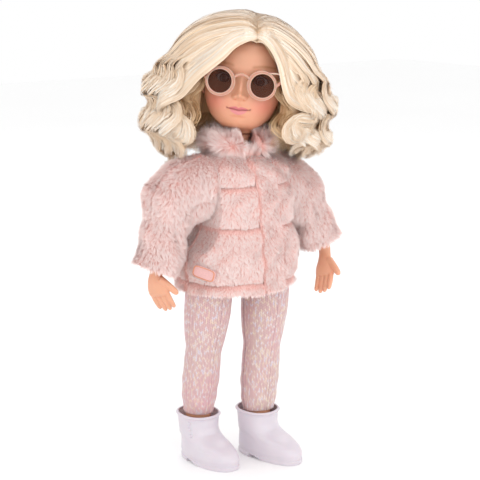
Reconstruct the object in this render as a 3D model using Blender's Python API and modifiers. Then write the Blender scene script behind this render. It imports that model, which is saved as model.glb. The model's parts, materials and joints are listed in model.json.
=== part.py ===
"""A 14 inch fashion doll, standing, in a fur coat, leggings, ankle boots and sunglasses.

Frame: the torso faces -Y, its left is +X, +Z is up, and the floor is Z = 0 under the middle of the
doll's box. Metres. The head turns on a neck that leans forward, and rests turned to the doll's right;
the arms swing at the shoulders and the legs at the hips, about lines along X; the sunglasses slide off
forwards. A body part is built round its own joint, in the place where the joint is square.
"""

import math

import bmesh
import bpy
from mathutils import Quaternion, Vector

# Heights: the hips above the floor, and the body above the hips
HIP_HEIGHT = 0.165
TORSO_RISE = 0.018
NECK_RISE = 0.097
NECK_SHOWN = 0.021
SHOULDER_DROP = 0.019
TORSO_BOTTOM = HIP_HEIGHT + TORSO_RISE
NECK_HEIGHT = HIP_HEIGHT + NECK_RISE
TORSO_TOP = NECK_HEIGHT - NECK_SHOWN
SHOULDER_HEIGHT = TORSO_TOP - SHOULDER_DROP

# Clearances: between touching pieces, between sewn panels, and how far a cutter runs past a face
GAP = 0.0003
SEAM_GAP = 0.0006
OVERRUN = 0.004
MERGE_DISTANCE = 0.00001

# Head, above the neck seam, and what it holds
HEAD_WIDTH = 0.060
HEAD_DEPTH = 0.067
HEAD_HEIGHT = 0.0807
HEAD_CENTRE_Y = 0.002
HEAD_WALL = 0.0026
NECK_LEAN = math.radians(10)
HEAD_TURN = math.radians(-37)
EYE_SPACING = 0.0268
EYE_HEIGHT = 0.041
EYE_RADIUS = 0.008
EYE_DEPTH = 0.0188
EYE_OPENING_WIDTH = 0.0112
EYE_OPENING_HEIGHT = 0.0086
IRIS_RADIUS = 0.0034
IRIS_THICKNESS = 0.0008
EAR_LENGTH = 0.015

# Neck: a turned post with the knob that the head snaps over
NECK_RADIUS = 0.0094
NECK_INSERT = 0.008
NECK_LENGTH = NECK_SHOWN + NECK_INSERT
STEM_RADIUS = 0.0056
KNOB_RADIUS = 0.0086
KNOB_HEIGHT = 0.0075
NECK_FLANGE_RADIUS = 0.0103
NECK_FLANGE_THICKNESS = 0.0018

# Torso shells
CHEST_WIDTH = 0.056
CHEST_DEPTH = 0.039
TORSO_TOP_BACK = 0.0044
TORSO_WALL = 0.0020
CROTCH_WIDTH = 0.0186
CROTCH_DEPTH = 0.029
CROTCH_DROP = 0.034

# The studs that hold arms and legs in the torso
STUD_RADIUS = 0.0042
STUD_FLANGE_RADIUS = 0.0056
STUD_FLANGE_THICKNESS = 0.0016
STUD_DEPTH = 0.0052

# Arms
SHOULDER_SPACING = 0.0572
ARM_RADIUS = 0.0095
ARM_REACH_OUT = 0.0435
ARM_DROP = 0.0505
FOREARM_LENGTH = 0.0255
PALM_LENGTH = 0.0180
PALM_WIDTH = 0.0165
PALM_THICKNESS = 0.0080
FINGER_LENGTH = 0.0142
FINGER_RADIUS = 0.00205
THUMB_LENGTH = 0.0145
RIGHT_ARM_SWING = math.radians(-5)
LEFT_ARM_SWING = math.radians(10)

# Legs
HIP_SPACING = 0.053
ANKLE_SPACING = 0.0444
THIGH_RADIUS = 0.0160
LEG_LEAN_BACK = 0.0125
FOOT_LENGTH = 0.043
SOLE_CLEARANCE = 0.0037
RIGHT_LEG_SWING = math.radians(-4.4)
LEFT_LEG_SWING = math.radians(4.4)

# Leggings
KNIT = 0.0006
LEGGINGS_HEM = 0.0445

# Boots
BOOT_LENGTH = 0.056
BOOT_WIDTH = 0.027
BOOT_HEIGHT = 0.0405
BOOT_WALL = 0.0013
BOOT_SOLE = 0.0022
BOOT_HEEL_LENGTH = 0.017
BOOT_ARCH = 0.0016
BUTTON_RADIUS = 0.0011

# Sunglasses
LENS_SPACING = 0.0314
LENS_DROP = 0.0023
LENS_RADIUS = 0.0086
RIM_WIDTH = 0.0027
FRAME_THICKNESS = 0.0022
FRAME_FORWARD = 0.0368
LENS_THICKNESS = 0.0009
LENS_LIP = 0.0007
END_PIECE = 0.0030
SIDE_ARM_LENGTH = 0.049
SIDE_ARM_HEIGHT = 0.0026
SIDE_ARM_THICKNESS = 0.0016

# Hair, measured from the neck seam
HAIR_HALF_WIDTH = 0.0735
HAIR_HALF_DEPTH = 0.063
HAIR_TOP = 0.0915
HAIR_CROWN_HEIGHT = 0.0270
HAIR_LEFT_BOTTOM = -0.0135
HAIR_RIGHT_BOTTOM = -0.0165
HAIR_BACK_BOTTOM = -0.0105
SIDE_ARM_CLEARANCE = 0.0034
HAIR_SIDE_CHANNEL = HEAD_WIDTH / 2 + SIDE_ARM_CLEARANCE
HAIR_GAP = 0.0013
HAIR_WAVE = 0.0030
HAIR_WAVE_LENGTH = 0.027
HAIR_PART_X = 0.003
HAIR_PART_DEPTH = 0.0022
HAIR_PART_WIDTH = 0.0030

# Coat
COAT_HALF_WIDTH = 0.048
COAT_HALF_DEPTH = 0.0405
COAT_DROP = 0.0255
COLLAR_DROP = 0.013
COAT_QUILT_RISE = 0.029
COAT_HEM = HIP_HEIGHT - COAT_DROP
COAT_COLLAR_BASE = NECK_HEIGHT - COLLAR_DROP
COAT_LENGTH = COAT_COLLAR_BASE - COAT_HEM
COAT_QUILT_SEAM = HIP_HEIGHT + COAT_QUILT_RISE
COAT_PUFF = 0.0022
ARMHOLE_X = 0.0330
ARMHOLE_RADIUS = 0.0200
ARMHOLE_BORE = 0.0112
SLEEVE_RADIUS = 0.0200
SLEEVE_BORE = 0.0140
CUFF_RADIUS = 0.0182
COLLAR_HEIGHT = 0.0115
COLLAR_RADIUS = 0.0245
COLLAR_BORE = 0.0140
COLLAR_OPENING = 0.0100
COLLAR_OPENING_X = -0.004
PLACKET_WIDTH = 0.016
PLACKET_THICKNESS = 0.0030
PLACKET_RECESS = 0.0028
RECESS_EDGE = 0.0012
TAPE_WIDTH = 0.0080
TAPE_THICKNESS = 0.0007
TAPE_LENGTH = 0.035
PATCH_WIDTH = 0.017
PATCH_HEIGHT = 0.012
PATCH_THICKNESS = 0.0008
PATCH_RISE = 0.0225
PATCH_ANGLE = math.radians(-70)

# Head outline from the neck seam up: height, half width, front and back, as shares of the head's sizes
HEAD_SECTION_SHARES = (
    (0.000, 0.350, 0.185, 0.125),
    (0.035, 0.410, 0.240, 0.165),
    (0.070, 0.520, 0.385, 0.225),
    (0.105, 0.630, 0.450, 0.270),
    (0.160, 0.760, 0.478, 0.330),
    (0.250, 0.880, 0.486, 0.420),
    (0.340, 0.953, 0.488, 0.470),
    (0.430, 0.988, 0.488, 0.500),
    (0.520, 1.000, 0.490, 0.508),
    (0.620, 0.998, 0.497, 0.507),
    (0.720, 0.953, 0.485, 0.492),
    (0.815, 0.845, 0.445, 0.442),
    (0.900, 0.655, 0.360, 0.350),
    (0.960, 0.430, 0.240, 0.235),
    (1.000, 0.130, 0.075, 0.070),
)
# Face relief: across, up, spread across, spread up, height forward, as shares of width, height, depth
FACE_RELIEF_SHARES = (
    (0.000, 0.374, 0.056, 0.040, 0.078),
    (0.000, 0.440, 0.045, 0.065, 0.036),
    (0.058, 0.352, 0.034, 0.022, 0.020),
    (0.000, 0.258, 0.095, 0.020, 0.022),
    (0.000, 0.214, 0.080, 0.022, 0.024),
    (0.000, 0.120, 0.105, 0.055, 0.026),
    (0.245, 0.310, 0.130, 0.085, 0.018),
    (0.190, 0.508, 0.125, 0.060, -0.033),
    (0.200, 0.620, 0.150, 0.045, 0.012),
)
# Torso outline from its bottom up: height, half width, half depth and how far back, as shares of its sizes
TORSO_SECTION_SHARES = (
    (0.00, 0.940, 0.940, 0.0),
    (0.12, 0.930, 0.950, 0.0),
    (0.26, 0.850, 0.860, 0.0),
    (0.46, 0.920, 0.930, 0.0),
    (0.67, 0.995, 1.000, 0.0),
    (0.84, 0.960, 0.920, 0.5),
    (0.93, 0.790, 0.780, 0.85),
    (1.00, 0.500, 0.580, 1.0),
)
CROTCH_SECTION_SHARES = ((0.00, 0.45, 0.50), (0.12, 0.85, 0.80), (0.35, 1.00, 0.97), (1.00, 1.00, 1.20))
# Leg from ankle to hip: height share of the hip's height, radius share of the thigh's, lean share
LEG_SECTION_SHARES = (
    (0.175, 0.560, 1.050),
    (0.262, 0.700, 1.010),
    (0.309, 0.760, 0.970),
    (0.360, 0.805, 0.900),
    (0.420, 0.822, 0.790),
    (0.485, 0.806, 0.680),
    (0.550, 0.782, 0.560),
    (0.640, 0.880, 0.390),
    (0.760, 0.985, 0.190),
    (0.920, 1.000, 0.020),
)
DOME_SHARES = (0.17, 0.38, 0.60, 0.79, 0.92, 0.985)
# Foot and boot: height, toe and heel ends from the ankle, half width, as shares of the boot's sizes
FOOT_SECTION_SHARES = (
    (0.00, 0.640, 0.180, 0.320),
    (0.10, 0.690, 0.215, 0.360),
    (0.30, 0.680, 0.220, 0.360),
    (0.50, 0.540, 0.210, 0.345),
    (0.70, 0.330, 0.205, 0.330),
    (0.90, 0.230, 0.210, 0.325),
)
BOOT_SECTION_SHARES = (
    (0.000, 0.706, 0.278, 0.480),
    (0.030, 0.716, 0.286, 0.492),
    (0.082, 0.718, 0.286, 0.494),
    (0.092, 0.706, 0.276, 0.478),
    (0.190, 0.714, 0.280, 0.500),
    (0.320, 0.672, 0.276, 0.496),
    (0.430, 0.560, 0.268, 0.492),
    (0.530, 0.405, 0.256, 0.494),
    (0.630, 0.295, 0.250, 0.502),
    (0.760, 0.256, 0.254, 0.516),
    (0.900, 0.258, 0.262, 0.532),
    (0.945, 0.270, 0.274, 0.552),
    (0.985, 0.272, 0.276, 0.556),
    (1.000, 0.266, 0.270, 0.546),
)
# Hair outline from the bottom of the back up to the crown: height share of the hair's top, then
# half width, front and back as shares of the hair's sizes
HAIR_SECTION_SHARES = (
    (-0.235, 0.745, 0.560, 0.700),
    (-0.180, 0.850, 0.640, 0.800),
    (-0.120, 0.920, 0.700, 0.870),
    (-0.050, 0.985, 0.740, 0.930),
    (0.010, 0.990, 0.750, 0.960),
    (0.075, 0.955, 0.720, 0.960),
    (0.150, 0.945, 0.700, 0.970),
    (0.210, 0.985, 0.720, 0.990),
    (0.300, 1.000, 0.730, 1.000),
    (0.380, 0.975, 0.710, 0.990),
    (0.460, 0.915, 0.680, 0.960),
    (0.520, 0.860, 0.660, 0.930),
    (0.570, 0.765, 0.650, 0.890),
    (0.630, 0.725, 0.645, 0.850),
    (0.705, 0.690, 0.625, 0.790),
    (0.800, 0.585, 0.560, 0.690),
    (0.880, 0.460, 0.460, 0.560),
    (0.945, 0.300, 0.310, 0.390),
    (1.000, 0.080, 0.090, 0.100),
)
# Front edge of the side hair: height share of the hair's top, angle from the face in shares of a circle
HAIR_LEFT_EDGE_SHARES = (
    (-0.25, 0.150), (-0.10, 0.140), (0.00, 0.145), (0.20, 0.140), (0.30, 0.146),
    (0.44, 0.150), (0.54, 0.148), (0.60, 0.140), (0.72, 0.125),
)
HAIR_RIGHT_EDGE_SHARES = (
    (-0.25, 0.150), (-0.10, 0.142), (0.00, 0.148), (0.20, 0.158), (0.30, 0.158),
    (0.44, 0.156), (0.54, 0.152), (0.60, 0.138), (0.72, 0.110),
)
# Coat outline from hem to collar: height share, then outer half width, outer half depth, widest X
# allowed beside the sleeves, inner half width and inner half depth, as shares of the coat's sizes
COAT_SECTION_SHARES = (
    (0.000, 0.985, 0.985, 1.00, 0.925, 0.905),
    (0.050, 1.005, 1.005, 1.01, 0.925, 0.910),
    (0.115, 0.980, 0.985, 1.00, 0.925, 0.905),
    (0.230, 1.000, 1.000, 1.00, 0.925, 0.890),
    (0.320, 0.985, 0.990, 0.97, 0.905, 0.860),
    (0.370, 0.945, 0.975, 0.870, 0.820, 0.800),
    (0.420, 0.890, 0.955, 0.785, 0.730, 0.740),
    (0.498, 0.850, 0.930, 0.705, 0.650, 0.650),
    (0.560, 0.840, 0.920, 0.6875, 0.625, 0.580),
    (0.660, 0.840, 0.910, 0.6875, 0.600, 0.550),
    (0.781, 0.835, 0.830, 0.6875, 0.606, 0.540),
    (0.870, 0.820, 0.770, 0.6875, 0.600, 0.540),
    (0.925, 0.750, 0.680, 0.6875, 0.530, 0.450),
    (0.955, 0.640, 0.580, 0.6400, 0.340, 0.360),
    (1.000, 0.470, 0.480, 0.5000, 0.290, 0.340),
)
COAT_QUILT_SHARE = (COAT_QUILT_SEAM - COAT_HEM) / COAT_LENGTH
COAT_SEAM_SHARES = tuple(sorted((0.0, 0.115, COAT_QUILT_SHARE, 0.781, 1.0)))
COAT_EXTRA_SHARES = (0.03, 0.09, 0.17, 0.61, 0.72)
# Sleeve from armhole to cuff: share of the arm's reach, radius share, bore share, tilt share
SLEEVE_SECTION_SHARES = (
    (0.000, 1.000, 0.98, 0.0),
    (0.130, 1.015, 1.00, 0.25),
    (0.300, 1.030, 1.00, 0.60),
    (0.500, 1.025, 1.00, 0.90),
    (0.720, 1.005, 1.00, 1.0),
    (0.930, 0.985, 1.00, 1.0),
    (1.000, 0.910, 0.97, 1.0),
)
# Arm below the armhole: share along the upper arm or forearm, radius share
UPPER_ARM_SHARES = ((0.00, 0.95), (0.15, 0.93), (0.40, 0.87), (0.70, 0.80), (1.00, 0.74))
FOREARM_SHARES = ((0.35, 0.69), (0.75, 0.58), (1.00, 0.52))
FINGER_LENGTH_SHARES = (0.86, 0.98, 1.0, 0.84)
FINGER_TAPER_SHARES = (1.0, 1.02, 0.95, 0.55)

HEAD_POINTS = 28
HEAD_RINGS = 19
SECTION_POINTS = 16
BOOT_POINTS = 16
ARM_POINTS = 12
HAIR_POINTS = 24
HAIR_COLUMNS_SIDE = 8
HAIR_COLUMNS_BACK = 9
HAIR_WAVES = 9
LEGGINGS_DOME_RINGS = 2
LEGGINGS_WAIST_RINGS = 3
FRONT_DENSITY_SHARE = 0.5
HEAD_FRONT_POWER_SHARE = 2.45
HEAD_BACK_POWER_SHARE = 2.15
BODY_POWER_SHARE = 2.3
BOOT_POWER_SHARE = 2.35
CROTCH_POWER_SHARE = 4
ARM_FORWARD_SHARE = 0.08
BOOT_ARCH_BACK_SHARE = 0.13
BRIDGE_RISE_SHARE = 2.5
PLACKET_EDGE_SHARE = 0.35
BUTTON_HEIGHT_SHARES = (0.86, 0.73, 0.60)
JAW_INSET_SHARE = 0.02
JAW_SLOPE_SHARE = 0.52
FINGER_BEND_SHARE = 1.1
UPPER_ARM_END_SHARE = 0.70

SKIN = ((0.80, 0.46, 0.31, 1.0), 0.48, 0.0)
SHELL_SKIN = ((0.76, 0.44, 0.30, 1.0), 0.42, 0.0)
HAIR_BLONDE = ((0.83, 0.68, 0.45, 1.0), 0.5, 0.0)
EYE_WHITE = ((0.86, 0.85, 0.83, 1.0), 0.15, 0.0)
IRIS_GREY = ((0.16, 0.13, 0.11, 1.0), 0.1, 0.0)
FUR_PINK = ((0.84, 0.55, 0.52, 1.0), 0.9, 0.0)
LINING_PINK = ((0.80, 0.50, 0.50, 1.0), 0.8, 0.0)
KNIT_PINK = ((0.78, 0.55, 0.56, 1.0), 0.7, 0.0)
BOOT_WHITE = ((0.80, 0.75, 0.82, 1.0), 0.35, 0.0)
FRAME_ROSE = ((0.62, 0.31, 0.22, 1.0), 0.3, 0.0)
LENS_BROWN = ((0.06, 0.025, 0.015, 1.0), 0.08, 0.0)
TAPE_WHITE = ((0.80, 0.72, 0.72, 1.0), 0.9, 0.0)


def smooth_value(table, at, column=1):
    """The value of a table's column where its first column is at, on a smooth curve through the rows."""
    if at <= table[0][0]:
        return table[0][column]
    if at >= table[-1][0]:
        return table[-1][column]
    here = next(i for i in range(len(table) - 1) if at <= table[i + 1][0])
    (x0, y0), (x1, y1) = ((table[i][0], table[i][column]) for i in (here, here + 1))

    def slope(i):
        if i == 0 or i == len(table) - 1:
            a, b = (0, 1) if i == 0 else (i - 1, i)
            return (table[b][column] - table[a][column]) / (table[b][0] - table[a][0])
        before = (table[i][column] - table[i - 1][column]) / (table[i][0] - table[i - 1][0])
        after = (table[i + 1][column] - table[i][column]) / (table[i + 1][0] - table[i][0])
        return 0 if before * after <= 0 else 2 * before * after / (before + after)

    t = (at - x0) / (x1 - x0)
    rise = x1 - x0
    return (
        (2 * t**3 - 3 * t**2 + 1) * y0
        + (t**3 - 2 * t**2 + t) * rise * slope(here)
        + (3 * t**2 - 2 * t**3) * y1
        + (t**3 - t**2) * rise * slope(here + 1)
    )


def oval(angle, half_width, front, back, power=2.0):
    """A point of a rounded oval, its angle measured from -Y towards +X."""
    s, c = math.sin(angle), math.cos(angle)
    depth = front if c > 0 else back
    reach = (abs(s / half_width) ** power + abs(c / depth) ** power) ** (-1 / power)
    return Vector((reach * s, -reach * c, 0))


def oval_ring(centre, half_width, front, back, points=SECTION_POINTS, power=2.0):
    """A level ring of such points round a centre."""
    return [
        centre + oval(2 * math.pi * i / points, half_width, front, back, power) for i in range(points)
    ]


def material_of(name, look):
    """One Principled material for each sub-part."""
    colour, roughness, metallic = look
    material = bpy.data.materials.new(name + "_material")
    material.use_nodes = True
    shader = material.node_tree.nodes["Principled BSDF"]
    shader.inputs["Base Color"].default_value = colour
    shader.inputs["Roughness"].default_value = roughness
    shader.inputs["Metallic"].default_value = metallic
    return material


def new_object(name, bm, parent, look=None):
    """A named object from a bmesh, under a parent. Without a look it is a cutter or a joining guide."""
    bmesh.ops.recalc_face_normals(bm, faces=bm.faces)
    if bm.calc_volume(signed=True) < 0:
        bmesh.ops.reverse_faces(bm, faces=bm.faces)
    mesh = bpy.data.meshes.new(name)
    bm.to_mesh(mesh)
    bm.free()
    mesh.shade_smooth()
    mesh.set_sharp_from_angle(angle=math.radians(50))
    piece = bpy.data.objects.new(name, mesh)
    piece.parent = parent
    if look is None:
        bpy.data.collections["guides"].objects.link(piece)
        piece.hide_render = True
        piece.display_type = "WIRE"
    else:
        bpy.data.collections["fashion_doll"].objects.link(piece)
        mesh.materials.append(material_of(name, look))
    return piece


def loft(name, rings, parent, look=None, wrap=False):
    """A closed body through rings of as many points each: capped at both ends, or joined end to end."""
    bm = bmesh.new()
    rows = [[bm.verts.new(p) for p in ring] for ring in rings]
    count = len(rows[0])
    pairs = list(zip(rows, rows[1:])) + ([(rows[-1], rows[0])] if wrap else [])
    for low, high in pairs:
        for i in range(count):
            j = (i + 1) % count
            bm.faces.new((low[i], low[j], high[j], high[i]))
    if not wrap:
        bm.faces.new(rows[0])
        bm.faces.new(rows[-1])
    return new_object(name, bm, parent, look)


def slab(name, outer, inner, parent, look=None, wrap=False):
    """A bent sheet between two grids of points of the same size. wrap joins its last column to the first."""
    bm = bmesh.new()
    skins = [[[bm.verts.new(p) for p in column] for column in grid] for grid in (outer, inner)]
    columns, rows = len(outer), len(outer[0])
    for i in range(columns if wrap else columns - 1):
        j = (i + 1) % columns
        for skin in skins:
            for k in range(rows - 1):
                bm.faces.new((skin[i][k], skin[j][k], skin[j][k + 1], skin[i][k + 1]))
        for k in (0, rows - 1):
            bm.faces.new((skins[0][i][k], skins[0][j][k], skins[1][j][k], skins[1][i][k]))
    for i in () if wrap else (0, columns - 1):
        for k in range(rows - 1):
            bm.faces.new((skins[0][i][k], skins[0][i][k + 1], skins[1][i][k + 1], skins[1][i][k]))
    return new_object(name, bm, parent, look)


def cylinder(name, start, along, length, radius, parent, look=None, points=SECTION_POINTS, end_radius=None):
    """A cylinder or cone from a start point along a direction."""
    bm = bmesh.new()
    end = radius if end_radius is None else end_radius
    bmesh.ops.create_cone(
        bm, cap_ends=True, segments=points, radius1=radius, radius2=end, depth=length
    )
    turn = Vector((0, 0, 1)).rotation_difference(along)
    half_step = Quaternion((0, 0, 1), math.pi / points)
    for v in bm.verts:
        v.co = Vector(start) + turn @ (half_step @ v.co + Vector((0, 0, length / 2)))
    return new_object(name, bm, parent, look)


def ball(name, centre, radii, parent, look=None, points=14, rings=9):
    """A sphere stretched to three radii."""
    bm = bmesh.new()
    bmesh.ops.create_uvsphere(bm, u_segments=points, v_segments=rings, radius=1)
    for v in bm.verts:
        v.co = Vector(centre) + Vector((v.co.x * radii[0], v.co.y * radii[1], v.co.z * radii[2]))
    return new_object(name, bm, parent, look)


def turned(name, profile, parent, look, points=SECTION_POINTS):
    """A turned piece: a profile of radius and height, down its outer side, spun about Z."""
    mesh = bpy.data.meshes.new(name)
    mesh.from_pydata([(r, 0, z) for r, z in profile], [(i, i + 1) for i in range(len(profile) - 1)], [])
    piece = bpy.data.objects.new(name, mesh)
    piece.parent = parent
    bpy.data.collections["fashion_doll"].objects.link(piece)
    spin = piece.modifiers.new("spin", "SCREW")
    spin.steps = points
    spin.render_steps = points
    spin.use_merge_vertices = True
    spin.merge_threshold = MERGE_DISTANCE
    mesh.materials.append(material_of(name, look))
    return piece


def tube(name, places, radii, parent, look=None, points=6):
    """A round bar through places, its ends closed."""
    rings = []
    for i, (place, radius) in enumerate(zip(places, radii)):
        before, after = places[max(i - 1, 0)], places[min(i + 1, len(places) - 1)]
        turn = Vector((0, 0, 1)).rotation_difference((after - before).normalized())
        ring = oval_ring(Vector(), radius, radius, radius, points)
        rings.append([place + turn @ p for p in ring])
    return loft(name, rings, parent, look)


def boolean(piece, other, operation="DIFFERENCE"):
    """Cuts the other object out of the piece, or joins it on."""
    step = piece.modifiers.new(other.name, "BOOLEAN")
    step.operation = operation
    step.object = other
    step.solver = "EXACT"
    return piece


def empty(name, parent, place, turn=None):
    """An empty on a joint's axis, or the doll's own origin."""
    spot = bpy.data.objects.new(name, None)
    spot.parent = parent
    spot.location = place
    spot.rotation_mode = "QUATERNION"
    if turn is not None:
        spot.rotation_quaternion = turn
    bpy.data.collections["fashion_doll"].objects.link(spot)
    return spot


def head_section(height, inset=0):
    """Half width, front and back of the head at a height above the neck seam."""
    share = height / HEAD_HEIGHT
    width = smooth_value(HEAD_SECTION_SHARES, share, 1) * HEAD_WIDTH / 2 - inset
    front = smooth_value(HEAD_SECTION_SHARES, share, 2) * HEAD_DEPTH - inset
    back = smooth_value(HEAD_SECTION_SHARES, share, 3) * HEAD_DEPTH - inset
    return width, front, back


def face_relief(x, height):
    """How far the face stands forward of the plain head there: nose, lips, chin, cheeks and eye hollows."""
    total = 0
    for across, up, wide, tall, forward in FACE_RELIEF_SHARES:
        dx = (abs(x) / HEAD_WIDTH - across) / wide
        dz = (height / HEAD_HEIGHT - up) / tall
        total += forward * HEAD_DEPTH * math.exp(-dx * dx - dz * dz)
    return total


def head_power(angle):
    """How square the head's level outline is: more in front than behind."""
    return HEAD_FRONT_POWER_SHARE if math.cos(angle) > 0 else HEAD_BACK_POWER_SHARE


def head_ring(height, points, inset=0, relief=True):
    """A level ring of the head, its points closer together across the face."""
    width, front, back = head_section(height, inset)
    ring = []
    for i in range(points):
        even = 2 * math.pi * i / points
        angle = even - FRONT_DENSITY_SHARE * math.sin(even)
        p = oval(angle, width, front, back, head_power(angle))
        p.y += HEAD_CENTRE_Y
        p.z = height
        if relief and math.cos(angle) > 0:
            p.y -= face_relief(p.x, height) * min(1, math.cos(angle) * 2.5)
        ring.append(p)
    return ring


def eye_centre(side):
    return Vector((side * EYE_SPACING / 2, -EYE_DEPTH, EYE_HEIGHT))


def make_head(neck):
    """The hollow vinyl head: outer form, cavity, neck hole, eye sockets and ears."""
    levels = [HEAD_HEIGHT * (0.5 - 0.5 * math.cos(math.pi * (0.04 + 0.96 * i / (HEAD_RINGS - 1))))
              for i in range(HEAD_RINGS)]
    levels[0] = GAP
    head = loft("head_shell", [head_ring(z, HEAD_POINTS) for z in levels], neck, SKIN)
    hollow_levels = [HEAD_WALL + (HEAD_HEIGHT - 2 * HEAD_WALL) * share
                     for share in (0.0, 0.08, 0.18, 0.36, 0.6, 0.8, 0.93, 1.0)]
    hollow_rings = [head_ring(z, SECTION_POINTS - 4, HEAD_WALL, False) for z in hollow_levels]
    boolean(head, loft("head_hollow", hollow_rings, neck))
    lean = Vector((0, -math.sin(NECK_LEAN), math.cos(NECK_LEAN)))
    hole = cylinder("head_neck_hole", -OVERRUN * lean, lean, 2 * OVERRUN + HEAD_WALL,
                    STEM_RADIUS + GAP, neck)
    boolean(head, hole)
    boolean(head, cylinder("head_seat", -2 * OVERRUN * lean, lean, 2 * OVERRUN + GAP,
                           NECK_RADIUS + OVERRUN, neck))
    for side, word in ((1, "left"), (-1, "right")):
        ear_place = (side * HEAD_WIDTH * 0.495, HEAD_DEPTH * 0.06, HEAD_HEIGHT * 0.415)
        ear = ball("ear_" + word, ear_place, (EAR_LENGTH * 0.12, EAR_LENGTH * 0.33, EAR_LENGTH / 2), neck,
                   points=12, rings=8)
        boolean(head, ear, "UNION")
        socket_radius = EYE_RADIUS + GAP
        boolean(head, ball("eye_socket_" + word, eye_centre(side), [socket_radius] * 3, neck))
        centre = eye_centre(side)
        opening = []
        for y in (-HEAD_DEPTH, centre.y):
            opening.append([
                Vector((
                    centre.x + EYE_OPENING_WIDTH / 2 * math.cos(a),
                    y,
                    centre.z + EYE_OPENING_HEIGHT / 2 * math.sin(a) * (1 - 0.22 * math.cos(a) ** 2)
                    * (1.0 if math.sin(a) > 0 else 0.90),
                ))
                for a in (2 * math.pi * i / 18 for i in range(18))
            ])
        boolean(head, loft("eye_opening_" + word, opening, neck))
    return head


def make_eyes(neck):
    """Each eyeball has a flat seat in front for its domed iris."""
    for side, word in ((1, "left"), (-1, "right")):
        centre = eye_centre(side)
        eye = ball("eye_" + word, centre, [EYE_RADIUS] * 3, neck, EYE_WHITE)
        seat_depth = math.sqrt(EYE_RADIUS**2 - (IRIS_RADIUS + GAP) ** 2)
        seat = cylinder("iris_seat_" + word, centre - Vector((0, EYE_RADIUS + OVERRUN, 0)), Vector((0, 1, 0)),
                        EYE_RADIUS + OVERRUN - seat_depth, IRIS_RADIUS + OVERRUN, neck)
        boolean(eye, seat)
        profile = [(0, IRIS_THICKNESS), (IRIS_RADIUS * 0.45, IRIS_THICKNESS * 0.92),
                   (IRIS_RADIUS * 0.8, IRIS_THICKNESS * 0.65), (IRIS_RADIUS, IRIS_THICKNESS * 0.25),
                   (IRIS_RADIUS, 0), (0, 0)]
        iris = turned("iris_" + word, profile, neck, IRIS_GREY, points=12)
        iris.rotation_mode = "QUATERNION"
        iris.rotation_quaternion = Quaternion((1, 0, 0), math.pi / 2)
        iris.location = centre - Vector((0, seat_depth + GAP, 0))


def make_neck(root_neck):
    """The neck, turned about its leaning axis: knob and stem inside the head, flange inside the torso."""
    stem_top = HEAD_WALL + KNOB_RADIUS * math.tan(NECK_LEAN) + 2 * GAP
    knob_top = stem_top + KNOB_HEIGHT
    profile = [
        (0, knob_top),
        (KNOB_RADIUS * 0.6, knob_top),
        (KNOB_RADIUS, knob_top - KNOB_HEIGHT * 0.45),
        (KNOB_RADIUS, stem_top),
        (STEM_RADIUS, stem_top),
        (STEM_RADIUS, 0),
        (NECK_RADIUS * 0.92, 0),
        (NECK_RADIUS, -KNOB_HEIGHT * 0.25),
        (NECK_RADIUS, -NECK_LENGTH),
        (NECK_FLANGE_RADIUS, -NECK_LENGTH),
        (NECK_FLANGE_RADIUS, -NECK_LENGTH - NECK_FLANGE_THICKNESS),
        (0, -NECK_LENGTH - NECK_FLANGE_THICKNESS),
    ]
    return turned("neck", profile, root_neck, SHELL_SKIN)


def torso_rings(inset, points):
    height = TORSO_TOP - TORSO_BOTTOM
    rings = []
    for share, wide, deep, behind in TORSO_SECTION_SHARES:
        z = TORSO_BOTTOM + min(max(share * height, inset), height - inset)
        depth = deep * CHEST_DEPTH / 2 - inset
        middle = Vector((0, behind * TORSO_TOP_BACK, z))
        half = wide * CHEST_WIDTH / 2 - inset
        rings.append(oval_ring(middle, half, depth, depth, points, BODY_POWER_SHARE))
    return rings


def crotch_rings(inset, points):
    bottom, top = TORSO_BOTTOM - CROTCH_DROP, TORSO_BOTTOM + 2 * TORSO_WALL
    rings = []
    for share, wide, deep in CROTCH_SECTION_SHARES:
        z = bottom + inset + (top - bottom - inset + (inset and TORSO_WALL)) * share
        half = wide * CROTCH_WIDTH / 2 - inset
        depth = deep * CROTCH_DEPTH / 2 - inset
        rings.append(oval_ring(Vector((0, 0, z)), half, depth, depth, points, CROTCH_POWER_SHARE))
    return rings


def make_torso(root, root_neck):
    """Two hollow shells parted at the side seam, with half of each limb hole in either."""
    reach = HEAD_DEPTH
    for name, ahead in (("torso_front", -1), ("torso_back", 1)):
        shell = loft(name, torso_rings(0, SECTION_POINTS), root, SHELL_SKIN)
        boolean(shell, loft(name + "_crotch", crotch_rings(0, SECTION_POINTS), root), "UNION")
        boolean(shell, loft(name + "_hollow", torso_rings(TORSO_WALL, SECTION_POINTS), root))
        boolean(shell, loft(name + "_crotch_hollow", crotch_rings(TORSO_WALL, SECTION_POINTS), root))
        for height, wide, word in ((SHOULDER_HEIGHT, CHEST_WIDTH, "arm"), (HIP_HEIGHT, CROTCH_WIDTH, "leg")):
            for side, hand in ((1, "left"), (-1, "right")):
                start = (side * (wide / 2 - OVERRUN), 0, height)
                hole = cylinder("_".join((name, word, "hole", hand)), start, Vector((side, 0, 0)),
                                2 * OVERRUN, STUD_RADIUS + GAP, root)
                boolean(shell, hole)
        hole = cylinder(name + "_neck_hole", (0, 0, -NECK_LENGTH - OVERRUN), Vector((0, 0, 1)),
                        NECK_LENGTH, NECK_RADIUS + GAP, root_neck)
        boolean(shell, hole)
        near, far = ahead * GAP / 2, -ahead * reach
        half = CHEST_WIDTH
        ends = [[Vector((x, y, z)) for x, y in ((-half, near), (half, near), (half, far), (-half, far))]
                for z in (OVERRUN, NECK_HEIGHT)]
        boolean(shell, loft(name + "_parting", ends, root))


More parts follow.
